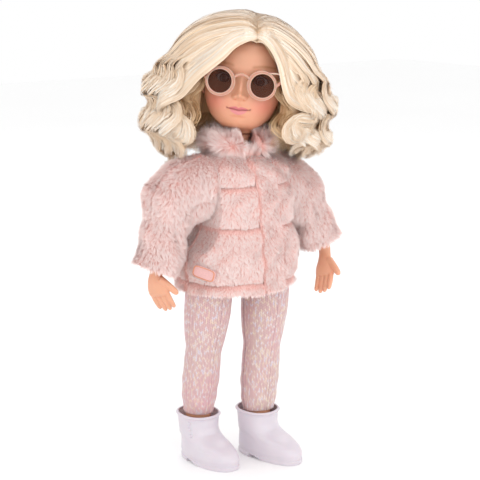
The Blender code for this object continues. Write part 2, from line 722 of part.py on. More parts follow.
def stud_rings(flange_in, face_x, radius):
    """Rings of a left limb's stud along X, from its flange inside the torso out to the limb's face."""
    spots = ((flange_in - STUD_FLANGE_THICKNESS, STUD_FLANGE_RADIUS), (flange_in, STUD_FLANGE_RADIUS),
             (flange_in, STUD_RADIUS), (face_x, STUD_RADIUS), (face_x, radius))
    return [[Vector((x, r * math.sin(a), r * math.cos(a)))
             for a in (2 * math.pi * i / ARM_POINTS for i in range(ARM_POINTS))] for x, r in spots]


def arm_points():
    """Shoulder, elbow and wrist of a left arm, from its joint."""
    shoulder = Vector((SHOULDER_SPACING / 2 + ARM_RADIUS * 0.8, 0, 0))
    cuff = Vector((shoulder.x + ARM_REACH_OUT, -ARM_FORWARD_SHARE * ARM_REACH_OUT, -ARM_DROP))
    elbow = shoulder.lerp(cuff, UPPER_ARM_END_SHARE)
    wrist = elbow + Vector((0.34, -0.08, -0.93)).normalized() * FOREARM_LENGTH
    return shoulder, cuff, elbow, wrist


def mirrored(points, side):
    return [Vector((side * p.x, p.y, p.z)) for p in points]


def make_arm(word, side, joint):
    """A bent vinyl arm with a stud at the shoulder, a palm, four fingers and a thumb."""
    shoulder, cuff, elbow, wrist = arm_points()
    joint_x = SHOULDER_SPACING / 2
    rings = stud_rings(joint_x - STUD_DEPTH, joint_x + GAP, ARM_RADIUS)
    upper = (cuff - shoulder).normalized()
    lower = (wrist - elbow).normalized()
    spots = [(shoulder.lerp(elbow, t), r, Vector((1, 0, 0)).lerp(upper, min(1, 0.35 + t * 2.2)))
             for t, r in UPPER_ARM_SHARES]
    spots[-1] = (spots[-1][0], spots[-1][1], upper.lerp(lower, 0.5))
    spots += [(elbow.lerp(wrist, t), r, lower) for t, r in FOREARM_SHARES]
    for place, share, along in spots:
        along = along.normalized()
        forward = Vector((0, 1, 0))
        up = along.cross(forward).normalized()
        radius = share * ARM_RADIUS
        rings.append([place + forward * radius * math.sin(a) + up * radius * math.cos(a)
                      for a in (2 * math.pi * i / ARM_POINTS for i in range(ARM_POINTS))])
    fingers_way = Vector((-0.26, -0.20, -0.94)).normalized()
    thick = Vector((1, 0, 0))
    thick = (thick - fingers_way * thick.dot(fingers_way)).normalized()
    broad = fingers_way.cross(thick).normalized()
    for share, wide, deep in ((0.25, 0.72, 0.92), (0.6, 1.0, 1.0), (0.92, 1.02, 0.86), (1.0, 0.86, 0.6)):
        place = wrist + fingers_way * PALM_LENGTH * share
        rings.append([place - broad * PALM_WIDTH / 2 * wide * math.sin(a)
                      + thick * PALM_THICKNESS / 2 * deep * math.cos(a)
                      for a in (2 * math.pi * i / ARM_POINTS for i in range(ARM_POINTS))])
    arm = loft("arm_" + word, [mirrored(ring, side) for ring in rings], joint, SKIN)
    for i, length_share in enumerate(FINGER_LENGTH_SHARES):
        offset = broad * (1.5 - i) * PALM_WIDTH * 0.245
        knuckle = wrist + fingers_way * PALM_LENGTH * 0.82 + offset
        bend = (fingers_way - thick * 0.10).normalized()
        length = FINGER_LENGTH * length_share + PALM_LENGTH * 0.18
        places = [knuckle + bend * length * t - thick * FINGER_RADIUS * FINGER_BEND_SHARE * t * t
                  for t in (0, 0.5, 0.86, 1)]
        radii = [FINGER_RADIUS * share for share in FINGER_TAPER_SHARES]
        finger = tube("finger_%s_%d" % (word, i), mirrored(places, side), radii, joint)
        boolean(arm, finger, "UNION")
    root_of_thumb = wrist + fingers_way * PALM_LENGTH * 0.35 - broad * -PALM_WIDTH * 0.30
    thumb_way = (fingers_way + broad * 0.75 - thick * 0.15).normalized()
    places = [root_of_thumb + thumb_way * THUMB_LENGTH * t + fingers_way * THUMB_LENGTH * 0.2 * t * t
              for t in (0, 0.45, 0.85, 1)]
    radii = [FINGER_RADIUS * 1.15 * share for share in FINGER_TAPER_SHARES]
    boolean(arm, tube("thumb_" + word, mirrored(places, side), radii, joint), "UNION")
    return arm


def leg_centre(height):
    """Where a left leg's middle is at a height above the floor, from the hip joint, and its radius."""
    share = height / HIP_HEIGHT
    lean = smooth_value(LEG_SECTION_SHARES, share, 2) * LEG_LEAN_BACK
    spread = min(1, max(0, (share - 0.25) / 0.75))
    x = (ANKLE_SPACING + (HIP_SPACING - ANKLE_SPACING) * spread) / 2
    radius = smooth_value(LEG_SECTION_SHARES, share, 1) * THIGH_RADIUS
    return Vector((x, lean, height - HIP_HEIGHT)), radius


def dome_radius(height):
    """Radius of the ball at the top of a thigh, at a height above the hip."""
    return math.sqrt(max(THIGH_RADIUS**2 - height**2, 0))


def foot_ring(row, length, width, height, side_shift, points, low, inset=0):
    """A level outline of a foot or boot, from its toe forward of the ankle to its heel."""
    share, toe, heel, half = row
    ahead, behind = toe * length - inset, heel * length - inset
    middle, reach = (behind - ahead) / 2, (behind + ahead) / 2
    half_width = half * width - inset
    ring = []
    for i in range(points):
        angle = 2 * math.pi * i / points
        p = oval(angle, half_width, reach, reach, BOOT_POWER_SHARE)
        along = p.y / reach
        p.x *= 1 - 0.13 * max(0, along) * (toe > 0.4)
        p.x += side_shift * max(0, -along) ** 2 * (toe - 0.27)
        p.y += middle
        p.z = low + share * height
        ring.append(p)
    return ring


def make_leg(word, side, joint):
    """A straight vinyl leg: foot, calf, thigh, the ball that fills the hip, and its stud."""
    ankle_x = ANKLE_SPACING / 2
    ankle_z = LEG_SECTION_SHARES[0][0] * HIP_HEIGHT
    rings = []
    for row in FOOT_SECTION_SHARES:
        ring = foot_ring(row, FOOT_LENGTH, BOOT_WIDTH, ankle_z - SOLE_CLEARANCE, 0, SECTION_POINTS,
                         SOLE_CLEARANCE - HIP_HEIGHT)
        lean = Vector((ankle_x, leg_centre(ankle_z)[0].y, 0))
        rings.append([p + lean for p in ring])
    for share, radius_share, lean_share in LEG_SECTION_SHARES:
        centre, radius = leg_centre(share * HIP_HEIGHT)
        rings.append(oval_ring(centre, radius, radius, radius))
    top = Vector((HIP_SPACING / 2, 0, 0))
    for share in DOME_SHARES:
        radius = dome_radius(share * THIGH_RADIUS)
        rings.append(oval_ring(top + Vector((0, 0, share * THIGH_RADIUS)), radius, radius, radius))
    leg = loft("leg_" + word, [mirrored(ring, side) for ring in rings], joint, SKIN)
    face_x = CROTCH_WIDTH / 2
    spots = stud_rings(face_x - TORSO_WALL - 3 * GAP, face_x + GAP, STUD_RADIUS)[:-1]
    spots.append([Vector((HIP_SPACING / 2, p.y, p.z)) for p in spots[-1]])
    stud = loft("leg_stud_" + word, [mirrored(ring, side) for ring in spots], joint)
    boolean(leg, stud, "UNION")
    return leg


def make_leggings(word, side, joint):
    """The knit tube round a leg, from the boot's rim up over the hip's ball."""
    heights = [LEGGINGS_HEM] + [row[0] * HIP_HEIGHT for row in LEG_SECTION_SHARES
                                if row[0] * HIP_HEIGHT > LEGGINGS_HEM + KNIT]
    outer, inner = ([[] for _ in range(SECTION_POINTS)] for _ in range(2))
    spots = [leg_centre(z) for z in heights]
    hip = Vector((HIP_SPACING / 2, 0, 0))
    for share in (0.0,) + DOME_SHARES[:LEGGINGS_DOME_RINGS]:
        z = share * THIGH_RADIUS
        spots.append((hip + Vector((0, 0, z)), dome_radius(z)))
    for centre, radius in spots:
        for grid, extra in ((outer, GAP + KNIT), (inner, GAP)):
            r = radius + extra
            for column, p in zip(grid, mirrored(oval_ring(centre, r, r, r), side)):
                column.append(p)
    leggings = slab("leggings_leg_" + word, outer, inner, joint, KNIT_PINK, wrap=True)
    stud_hole = cylinder("leggings_stud_hole_" + word, (0, 0, 0), Vector((side, 0, 0)), HIP_SPACING / 2,
                         STUD_RADIUS + 2 * KNIT, joint)
    return boolean(leggings, stud_hole)


def make_leggings_seat(root):
    """The part of the leggings round the torso, up to the waist."""
    outer, inner = ([[] for _ in range(SECTION_POINTS)] for _ in range(2))
    height = TORSO_TOP - TORSO_BOTTOM
    for share, wide, deep, _ in TORSO_SECTION_SHARES[:LEGGINGS_WAIST_RINGS]:
        middle = Vector((0, 0, TORSO_BOTTOM + height * share))
        for grid, extra in ((outer, GAP + KNIT), (inner, GAP)):
            depth = deep * CHEST_DEPTH / 2 + extra
            half = wide * CHEST_WIDTH / 2 + extra
            ring = oval_ring(middle, half, depth, depth, SECTION_POINTS, BODY_POWER_SHARE)
            for column, p in zip(grid, ring):
                column.append(p)
    return slab("leggings_seat", outer, inner, root, KNIT_PINK, wrap=True)


def make_boot(word, side, joint, swing):
    """A moulded ankle boot, level on the floor whatever the leg's swing: sole, upper, rolled rim, buttons."""
    level = Quaternion((1, 0, 0), swing)
    rim = leg_centre(BOOT_HEIGHT)[0]
    rim_at_rest = level.inverted() @ Vector((0, rim.y, rim.z))
    rings = []
    low = -HIP_HEIGHT
    shift = -BOOT_WIDTH * 0.16
    for row in BOOT_SECTION_SHARES:
        rings.append(foot_ring(row, BOOT_LENGTH, BOOT_WIDTH, BOOT_HEIGHT, shift, BOOT_POINTS, low))
    inner_rows = [row for row in BOOT_SECTION_SHARES if row[0] in (0.985, 0.900, 0.630, 0.430, 0.190)][::-1]
    for row in inner_rows:
        wall = BOOT_WALL if row[0] < 0.97 else BOOT_WALL * 1.6
        rings.append(foot_ring(row, BOOT_LENGTH, BOOT_WIDTH, BOOT_HEIGHT, shift, BOOT_POINTS, low, wall))
    last = foot_ring(BOOT_SECTION_SHARES[4], BOOT_LENGTH, BOOT_WIDTH, 0, shift, BOOT_POINTS,
                     low + BOOT_SOLE, BOOT_WALL)
    rings.append(last)
    place = Vector((rim.x, rim_at_rest.y, 0))
    moved = [[level @ (p + place) for p in mirrored(ring, 1)] for ring in rings]
    boot = loft("boot_" + word, [mirrored(ring, side) for ring in moved], joint, BOOT_WHITE)
    arch_radius = BOOT_LENGTH * 0.55
    heel_front = BOOT_SECTION_SHARES[0][2] * BOOT_LENGTH - BOOT_HEEL_LENGTH
    arch_centre = place + Vector((0, heel_front - BOOT_LENGTH * BOOT_ARCH_BACK_SHARE,
                                  low + BOOT_ARCH - arch_radius))
    start = Vector((side * (place.x - BOOT_WIDTH), arch_centre.y, arch_centre.z))
    start = level @ start
    arch = cylinder("boot_arch_" + word, start, Vector((side, 0, 0)), 2 * BOOT_WIDTH, arch_radius, joint,
                    points=72)
    boolean(boot, arch)
    for i, share in enumerate(BUTTON_HEIGHT_SHARES):
        z = low + BOOT_HEIGHT * share
        outer_x = place.x + BOOT_WIDTH * smooth_value(BOOT_SECTION_SHARES, share, 3)
        centre = level @ Vector((outer_x, place.y, z))
        centre.x *= side
        button = ball("boot_button_%s_%d" % (word, i), centre,
                      (BUTTON_RADIUS * 0.7, BUTTON_RADIUS, BUTTON_RADIUS), joint, points=8, rings=4)
        boolean(boot, button, "UNION")
    return boot


def rim_reach(angle):
    """Outer radius of a lens rim, angle 0 outward: it swells up and out into the end piece."""
    swell = math.exp(-((angle - math.radians(24)) / math.radians(20)) ** 2)
    return LENS_RADIUS + RIM_WIDTH + END_PIECE * swell


def make_sunglasses(slide):
    """One moulded frame, rims, bridge and side arms, and a lens in each rim's back rebate."""
    front, back = -FRAME_FORWARD, -FRAME_FORWARD + FRAME_THICKNESS
    middle_z = EYE_HEIGHT - LENS_DROP
    rebate = back - LENS_THICKNESS - GAP
    frame = None
    for side, word in ((1, "left"), (-1, "right")):
        rings = []
        count = 20
        for i in range(count):
            angle = math.pi * 2 * i / count - (math.pi * 2 if i > count / 2 else 0)
            way = Vector((math.cos(angle), 0, math.sin(angle)))
            reach = rim_reach(angle)
            round_edge = FRAME_THICKNESS * 0.28
            spots = (
                (LENS_RADIUS, rebate), (LENS_RADIUS, front + round_edge),
                (LENS_RADIUS + round_edge, front), (reach - round_edge, front),
                (reach, front + round_edge), (reach, back), (LENS_RADIUS + LENS_LIP, back),
                (LENS_RADIUS + LENS_LIP, rebate),
            )
            centre = Vector((LENS_SPACING / 2, 0, middle_z))
            rings.append([centre + way * r + Vector((0, y, 0)) for r, y in spots])
        rings = [mirrored(ring, side) for ring in rings]
        name = "sunglasses_frame" if side == 1 else "rim_right"
        rim = loft(name, rings, slide, FRAME_ROSE if side == 1 else None, wrap=True)
        frame = frame or rim
        if side == -1:
            boolean(frame, rim, "UNION")
        lens_start = (side * LENS_SPACING / 2, rebate + GAP / 2, middle_z)
        cylinder("lens_" + word, lens_start, Vector((0, 1, 0)), LENS_THICKNESS,
                 LENS_RADIUS + LENS_LIP - GAP, slide, LENS_BROWN)
        reach = rim_reach(math.radians(24)) - SIDE_ARM_THICKNESS
        hinge = Vector((LENS_SPACING / 2 + reach * math.cos(math.radians(24)), back - FRAME_THICKNESS / 2,
                        middle_z + reach * math.sin(math.radians(24))))
        wide = HEAD_WIDTH / 2 + GAP + SIDE_ARM_THICKNESS / 2
        stations = ((0.0, hinge.x, 1.0, 0), (0.35, (hinge.x + wide) / 2 + GAP, 1.0, 0), (0.72, wide, 1.0, 0),
                    (0.86, wide, 1.0, 0), (1.0, wide, 0.8, -0.3))
        rings = []
        for share, x, tall, drop in stations:
            centre = Vector((x, hinge.y + SIDE_ARM_LENGTH * share, hinge.z + drop * SIDE_ARM_HEIGHT))
            half_x, half_z = SIDE_ARM_THICKNESS / 2, SIDE_ARM_HEIGHT / 2 * tall
            rings.append([centre + Vector((half_x * a, 0, half_z * b)) for a, b in (
                (-1, -0.5), (-1, 0.5), (-0.5, 1), (0.5, 1), (1, 0.5), (1, -0.5), (0.5, -1), (-0.5, -1))])
        boolean(frame, loft("side_arm_" + word, [mirrored(ring, side) for ring in rings], slide), "UNION")
    inner = LENS_SPACING / 2 - LENS_RADIUS - RIM_WIDTH / 2
    rings = []
    for i in range(7):
        t = i / 3 - 1
        centre = Vector((t * inner, (front + back) / 2, middle_z + RIM_WIDTH * (BRIDGE_RISE_SHARE - t * t)))
        half_y, half_z = FRAME_THICKNESS * 0.42, RIM_WIDTH * 0.42
        rings.append([centre + Vector((0, half_y * math.sin(a), half_z * math.cos(a)))
                      for a in (2 * math.pi * k / 8 for k in range(8))])
    boolean(frame, loft("bridge", rings, slide), "UNION")
    return frame


def hair_outer(angle, height, wave=True):
    """A point of the hair's outer surface: the outline, with locks that sway down its length."""
    share = height / HAIR_TOP
    width = smooth_value(HAIR_SECTION_SHARES, share, 1) * HAIR_HALF_WIDTH
    front = smooth_value(HAIR_SECTION_SHARES, share, 2) * HAIR_HALF_DEPTH
    back = smooth_value(HAIR_SECTION_SHARES, share, 3) * HAIR_HALF_DEPTH
    p = oval(angle, width, front, back, 2.0)
    if wave:
        fade = min(1, max(0, (0.66 - share) / 0.25))
        sway = 0.20 * math.sin(2 * math.pi * height / HAIR_WAVE_LENGTH)
        ripple = HAIR_WAVE * fade * (math.cos(HAIR_WAVES * (angle + sway)) - 1) / 2
        p *= (p.length + ripple) / p.length
    return Vector((p.x, p.y + HEAD_CENTRE_Y, height))


def hair_inner(angle, height):
    """A point of the hair's inner surface: close on the skull, then clear of the sunglasses' side arms,
    and below the jaw clear of the collar."""
    width, front, back = head_section(max(height, 0), -HAIR_GAP)
    top_of_channel = EYE_HEIGHT + LENS_RADIUS + 2 * RIM_WIDTH
    opening = min(1, max(0, (top_of_channel - height) / (2 * RIM_WIDTH)))
    channel = HAIR_SIDE_CHANNEL / max(abs(math.sin(angle)), 0.5)
    head = oval(angle, width, front, back, head_power(angle)).length
    reach = head
    if opening > 0 and math.cos(angle) > -0.6:
        reach = head + (max(channel, head) - head) * opening
    jaw = HAIR_SIDE_CHANNEL - HEAD_WIDTH * JAW_INSET_SHARE - height * JAW_SLOPE_SHARE
    if height < HEAD_HEIGHT * 0.12:
        reach = max(reach, jaw)
    s, c = math.sin(angle), math.cos(angle)
    return Vector((reach * s, HEAD_CENTRE_Y - reach * c, height))


def hair_levels(bottom, top, count):
    return [bottom + (top - bottom) * i / (count - 1) for i in range(count)]


def make_hair(neck):
    """Crown, two side masses that leave the face free, and two back masses, all with swaying locks."""
    rim = HAIR_TOP - HAIR_CROWN_HEIGHT
    rings = []
    points = HAIR_POINTS
    for share in (0.985, 0.9, 0.72, 0.4, 0.0):
        z = rim + (HEAD_HEIGHT - rim) * share
        ring = []
        for i in range(points):
            angle = 2 * math.pi * i / points
            width, front, back = head_section(z, -HAIR_GAP)
            p = oval(angle, width, front, back, head_power(angle))
            ring.append(Vector((p.x, p.y + HEAD_CENTRE_Y, z + HAIR_GAP * (share > 0.9))))
        rings.append(ring)
    for share in (0.0, 0.25, 0.5, 0.72, 0.88, 0.97, 1.0):
        z = rim + HAIR_CROWN_HEIGHT * share
        ring = []
        for i in range(points):
            p = hair_outer(2 * math.pi * i / points, z, False)
            groove = math.exp(-(((p.x - HAIR_PART_X) / HAIR_PART_WIDTH) ** 2))
            groove *= p.y < HEAD_CENTRE_Y + OVERRUN
            p.z -= HAIR_PART_DEPTH * groove * (share > 0.3)
            ring.append(p)
        rings.append(ring)
    loft("hair_crown", rings, neck, HAIR_BLONDE)
    split = math.radians(100)
    for side, word, edge, bottom in ((1, "left", HAIR_LEFT_EDGE_SHARES, HAIR_LEFT_BOTTOM),
                                     (-1, "right", HAIR_RIGHT_EDGE_SHARES, HAIR_RIGHT_BOTTOM)):
        levels = hair_levels(bottom, rim - SEAM_GAP, 13)
        outer, inner = [], []
        for i in range(HAIR_COLUMNS_SIDE):
            u = i / (HAIR_COLUMNS_SIDE - 1)
            out_column, in_column = [], []
            for z in levels:
                start = smooth_value(edge, z / HAIR_TOP) * 2 * math.pi
                angle = side * (start + (split - start) * u)
                far, near = hair_outer(angle, z), hair_inner(angle, z)
                taper = min(1, 0.35 + u * 2.6)
                out_column.append(near.lerp(far, taper))
                in_column.append(near)
            outer.append(out_column)
            inner.append(in_column)
        slab("hair_side_" + word, outer, inner, neck, HAIR_BLONDE)
        levels = hair_levels(HAIR_BACK_BOTTOM, rim - SEAM_GAP, 12)
        start = split + SEAM_GAP / HAIR_SIDE_CHANNEL
        end = math.pi - SEAM_GAP / HAIR_SIDE_CHANNEL
        outer, inner = [], []
        for i in range(HAIR_COLUMNS_BACK):
            angle = side * (start + (end - start) * i / (HAIR_COLUMNS_BACK - 1))
            outer.append([hair_outer(angle, z) for z in levels])
            inner.append([hair_inner(angle, z) for z in levels])
        slab("hair_back_" + word, outer, inner, neck, HAIR_BLONDE)


def coat_point(angle, height, skin):
    """A point of the coat's outer or inner surface, puffed out between the quilting seams."""
    share = (height - COAT_HEM) / COAT_LENGTH
    columns = (1, 2) if skin == "outer" else (4, 5)
    width = smooth_value(COAT_SECTION_SHARES, share, columns[0]) * COAT_HALF_WIDTH
    depth = smooth_value(COAT_SECTION_SHARES, share, columns[1]) * COAT_HALF_DEPTH
    p = oval(angle, width, depth, depth, BODY_POWER_SHARE)
    if skin == "outer":
        row = next(i for i in range(len(COAT_SEAM_SHARES) - 1)
                   if share <= COAT_SEAM_SHARES[i + 1] or i == len(COAT_SEAM_SHARES) - 2)
        low, high = COAT_SEAM_SHARES[row], COAT_SEAM_SHARES[row + 1]
        t = min(1, max(0, (share - low) / (high - low)))
        p *= 1 + COAT_PUFF * (math.sin(math.pi * t) ** 0.6 - 0.55) / p.length
        beside = (PLACKET_WIDTH / 2 + RECESS_EDGE - abs(p.x)) / RECESS_EDGE + 1
        under = min(1, max(0, beside)) if p.y < 0 else 0
        p *= 1 - PLACKET_RECESS * under / p.length
        limit = smooth_value(COAT_SECTION_SHARES, share, 3) * COAT_HALF_WIDTH
        p.x = max(-limit, min(limit, p.x))
    p.z = height
    return p


def coat_panel(name, angles, heights, root):
    """A panel of the coat with columns at these angles from the front."""
    outer = [[coat_point(a, z, "outer") for z in heights] for a in angles]
    inner = [[coat_point(a, z, "inner") for z in heights] for a in angles]
    return slab(name, outer, inner, root, FUR_PINK)


def coat_heights(low, high):
    marks = sorted({row[0] for row in COAT_SECTION_SHARES} | set(COAT_EXTRA_SHARES))
    inside = [COAT_HEM + COAT_LENGTH * m for m in marks]
    return [low] + [z for z in inside if low + 2 * SEAM_GAP < z < high - 2 * SEAM_GAP] + [high]


def make_coat(root):
    """Back and fronts, the skirt fronts below the quilting seam, placket, tapes, collar and patch."""
    seam = SEAM_GAP / COAT_HALF_WIDTH
    side_seam = math.pi / 2
    arm_bore = cylinder("coat_armholes", (-COAT_HALF_WIDTH, 0, SHOULDER_HEIGHT), Vector((1, 0, 0)),
                        2 * COAT_HALF_WIDTH, ARMHOLE_BORE, root)
    whole = coat_heights(COAT_HEM, COAT_COLLAR_BASE)
    back_angles = [side_seam + seam + (math.pi - 2 * seam) * i / 12 for i in range(13)]
    back = coat_panel("coat_back", back_angles, whole, root)
    boolean(back, arm_bore)
    upper = coat_heights(COAT_QUILT_SEAM + SEAM_GAP / 2, COAT_COLLAR_BASE)
    lower = coat_heights(COAT_HEM, COAT_QUILT_SEAM - SEAM_GAP / 2)
    for side, word in ((1, "left"), (-1, "right")):
        step_in = math.asin((PLACKET_WIDTH / 2 + RECESS_EDGE) / COAT_HALF_DEPTH)
        step_out = math.asin((PLACKET_WIDTH / 2 + 3 * RECESS_EDGE) / COAT_HALF_DEPTH)
        angles = [seam, step_in] + [step_out + (side_seam - step_out) * i / 5 for i in range(6)]
        angles = [side * a for a in angles]
        front = coat_panel("coat_front_" + word, angles, upper, root)
        boolean(front, arm_bore)
        skirt = coat_panel("coat_skirt_" + word, angles, lower, root)
        if COAT_QUILT_SEAM > SHOULDER_HEIGHT - ARMHOLE_BORE:
            boolean(skirt, arm_bore)
    make_placket(root)
    make_collar(root)
    make_patch(root)


def placket_strip(name, half_width, low, high, rise, thickness, root, look, rows=8, columns=5):
    """A strip down the centre front, standing off the panels by rise."""
    outer, inner = [], []
    for i in range(columns):
        x = half_width * (2 * i / (columns - 1) - 1)
        out_column, in_column = [], []
        for k in range(rows):
            z = low + (high - low) * k / (rows - 1)
            base = min(coat_point(s * abs(x) / COAT_HALF_DEPTH, z, "outer").y for s in (1, -1))
            edge = 1 - PLACKET_EDGE_SHARE * abs(2 * i / (columns - 1) - 1) ** 3
            in_column.append(Vector((x, base - rise, z)))
            out_column.append(Vector((x, base - rise - thickness * edge, z)))
        outer.append(out_column)
        inner.append(in_column)
    return slab(name, outer, inner, root, look)


def make_placket(root):
    """The fur placket over the join, and under it the two tapes that hold it shut."""
    high = COAT_COLLAR_BASE - COLLAR_HEIGHT * 0.35
    low = COAT_HEM + PLACKET_THICKNESS / 2
    tape_high = high - TAPE_WIDTH
    tape_low = tape_high - TAPE_LENGTH
    stack = 2 * (TAPE_THICKNESS + GAP) + 2 * GAP
    placket_strip("coat_loop_tape", TAPE_WIDTH / 2, tape_low, tape_high, 2 * GAP, TAPE_THICKNESS, root,
                  TAPE_WHITE, 6, 3)
    placket_strip("coat_hook_tape", TAPE_WIDTH / 2, tape_low, tape_high, 3 * GAP + TAPE_THICKNESS,
                  TAPE_THICKNESS, root, TAPE_WHITE, 6, 3)
    placket_strip("coat_placket", PLACKET_WIDTH / 2, low, high, stack + 3 * GAP, PLACKET_THICKNESS, root,
                  FUR_PINK, 12)


def make_collar(root):
    """Two halves of a stand collar that leave the throat open."""
    base = COAT_COLLAR_BASE + SEAM_GAP
    opening = COLLAR_OPENING / 2 / COLLAR_RADIUS
    middle = COLLAR_OPENING_X / COLLAR_RADIUS
    seam = SEAM_GAP / COLLAR_RADIUS
    for word, start, end in (("left", middle + opening, math.pi - seam),
                             ("right", middle - opening, -math.pi + seam)):
        outer, inner = [], []
        for i in range(10):
            angle = start + (end - start) * i / 9
            out_column, in_column = [], []
            for share, far, near in ((0, 0.88, 1.0), (0.35, 1.0, 0.98), (0.7, 0.98, 1.0), (1, 0.84, 1.12)):
                z = base + COLLAR_HEIGHT * share
                p = oval(angle, COLLAR_RADIUS * far, COLLAR_RADIUS * far, COLLAR_RADIUS * far)
                q = oval(angle, COLLAR_BORE * near, COLLAR_BORE * near, COLLAR_BORE * near)
                out_column.append(Vector((p.x, p.y, z)))
                in_column.append(Vector((q.x, q.y, z)))
            outer.append(out_column)
            inner.append(in_column)
        slab("coat_collar_" + word, outer, inner, root, FUR_PINK)


def make_patch(root):
    """A bare sewn patch on the right skirt front, near the hem."""
    outer, inner = [], []
    for i in range(7):
        t = 2 * i / 6 - 1
        tall = PATCH_HEIGHT / 2 * (1 - 0.45 * abs(t) ** 4)
        out_column, in_column = [], []
        for k in range(5):
            z = COAT_HEM + PATCH_RISE + tall * (2 * k / 4 - 1)
            angle = PATCH_ANGLE - t * PATCH_WIDTH / 2 / COAT_HALF_WIDTH
            p = coat_point(angle, z, "outer")
            way = Vector((p.x, p.y, 0)).normalized()
            in_column.append(p + way * 2 * GAP)
            out_column.append(p + way * (2 * GAP + PATCH_THICKNESS))
        outer.append(out_column)
        inner.append(in_column)
    return slab("coat_patch", outer, inner, root, LINING_PINK)


def make_sleeve(word, side, joint):
    """A puffy sleeve from the flat armhole out along the arm, square to the arm at the cuff."""
    shoulder, cuff, _, _ = arm_points()
    axis = cuff - shoulder
    way = axis.normalized()
    outer, inner = ([[] for _ in range(SECTION_POINTS)] for _ in range(2))
    start = Vector((ARMHOLE_X + GAP, 0, 0))
    for share, far, near, tilt in SLEEVE_SECTION_SHARES:
        middle = start.lerp(shoulder + axis, share) if share > 0 else start
        bow = math.sin(math.pi * min(1, share)) * ARMHOLE_RADIUS * 0.10
        middle = middle + Vector((bow * 0.7, 0, bow * 0.7))
        normal = Vector((1, 0, 0)).lerp(way, tilt).normalized()
        forward = Vector((0, 1, 0))
        up = normal.cross(forward).normalized()
        radius = (ARMHOLE_RADIUS + (SLEEVE_RADIUS - ARMHOLE_RADIUS) * tilt) * far
        if share == 1.0:
            radius = CUFF_RADIUS
        for grid, r in ((outer, radius), (inner, SLEEVE_BORE * near)):
            for i in range(SECTION_POINTS):
                a = 2 * math.pi * i / SECTION_POINTS
                p = middle + forward * r * math.sin(a) + up * r * math.cos(a)
                grid[i].append(Vector((side * p.x, p.y, p.z)))
    return slab("coat_sleeve_" + word, outer, inner, joint, FUR_PINK, wrap=True)


def centre_over_origin(root):
    """Moves the doll so that the middle of its box stands over the origin, on the floor."""
    bpy.context.view_layer.update()
    graph = bpy.context.evaluated_depsgraph_get()
    corners = []
    for piece in bpy.data.collections["fashion_doll"].objects:
        if piece.type == "MESH":
            shown = piece.evaluated_get(graph)
            corners += [shown.matrix_world @ v.co for v in shown.data.vertices]
    low = Vector([min(c[i] for c in corners) for i in range(3)])
    high = Vector([max(c[i] for c in corners) for i in range(3)])
    root.location = (-(low.x + high.x) / 2, -(low.y + high.y) / 2, -low.z)


def main():
    for old in list(bpy.data.objects):
        bpy.data.objects.remove(old)
    for name in ("fashion_doll", "guides"):
        bpy.context.scene.collection.children.link(bpy.data.collections.new(name))
    root = empty("doll", None, (0, 0, 0))
    upright = Vector((0, 0, 1))
    lean = Vector((0, -math.sin(NECK_LEAN), math.cos(NECK_LEAN)))
    neck_place = Vector((0, 0, NECK_HEIGHT))
    root_neck = empty("neck_socket", root, neck_place, upright.rotation_difference(lean))
    neck = empty("neck_turn", root, neck_place, Quaternion(lean, HEAD_TURN))
    make_torso(root, root_neck)
    make_neck(root_neck)
    make_head(neck)
    make_eyes(neck)
    make_sunglasses(empty("sunglasses_off", neck, (0, 0, 0)))
    make_hair(neck)
    for side, word, arm_swing, leg_swing in ((1, "left", LEFT_ARM_SWING, LEFT_LEG_SWING),
                                             (-1, "right", RIGHT_ARM_SWING, RIGHT_LEG_SWING)):
        turn = Quaternion((-1, 0, 0), arm_swing)
        shoulder = empty("shoulder_" + word, root, (0, 0, SHOULDER_HEIGHT), turn)
        make_arm(word, side, shoulder)
        make_sleeve(word, side, shoulder)
        turn = Quaternion((-1, 0, 0), leg_swing)
        hip = empty("hip_" + word, root, (0, 0, HIP_HEIGHT), turn)
        make_leg(word, side, hip)
        make_leggings(word, side, hip)
        make_boot(word, side, hip, leg_swing)
    make_leggings_seat(root)
    make_coat(root)
    centre_over_origin(root)


main()
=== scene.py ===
"""A vinyl fashion doll in a pale pink faux fur coat, knit leggings, boots and round sunglasses.

The doll stands on the floor, its front towards -Y, its left hand towards +X. Lengths are in metres.
"""

import json
import math

import bmesh
import bpy
import numpy as np
from mathutils import Matrix, Quaternion, Vector
from mathutils.kdtree import KDTree


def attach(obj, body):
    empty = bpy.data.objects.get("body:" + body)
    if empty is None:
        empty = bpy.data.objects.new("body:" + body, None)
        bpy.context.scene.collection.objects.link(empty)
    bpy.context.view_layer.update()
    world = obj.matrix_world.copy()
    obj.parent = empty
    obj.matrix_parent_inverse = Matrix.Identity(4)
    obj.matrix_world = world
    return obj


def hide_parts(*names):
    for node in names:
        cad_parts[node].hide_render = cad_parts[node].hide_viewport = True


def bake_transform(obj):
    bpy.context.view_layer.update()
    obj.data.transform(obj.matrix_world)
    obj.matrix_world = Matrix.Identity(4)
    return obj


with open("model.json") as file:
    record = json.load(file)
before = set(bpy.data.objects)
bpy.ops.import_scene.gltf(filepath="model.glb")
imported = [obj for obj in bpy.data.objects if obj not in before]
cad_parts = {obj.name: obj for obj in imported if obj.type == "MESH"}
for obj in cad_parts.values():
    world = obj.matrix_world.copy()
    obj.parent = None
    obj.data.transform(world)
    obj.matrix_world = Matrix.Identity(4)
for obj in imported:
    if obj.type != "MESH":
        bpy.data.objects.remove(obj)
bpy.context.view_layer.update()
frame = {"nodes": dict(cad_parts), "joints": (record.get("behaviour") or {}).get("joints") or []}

# The doll's axis and the joints on it
NECK_JOINT = next(j for j in frame["joints"] if j["name"] == "neck_turn")
AXIS_Y = NECK_JOINT["pos_m"][1]
NECK_HEIGHT = NECK_JOINT["pos_m"][2]
SHOULDER_HEIGHT = 0.222
HIP_HEIGHT = 0.165
NECK_LEAN = math.radians(10)
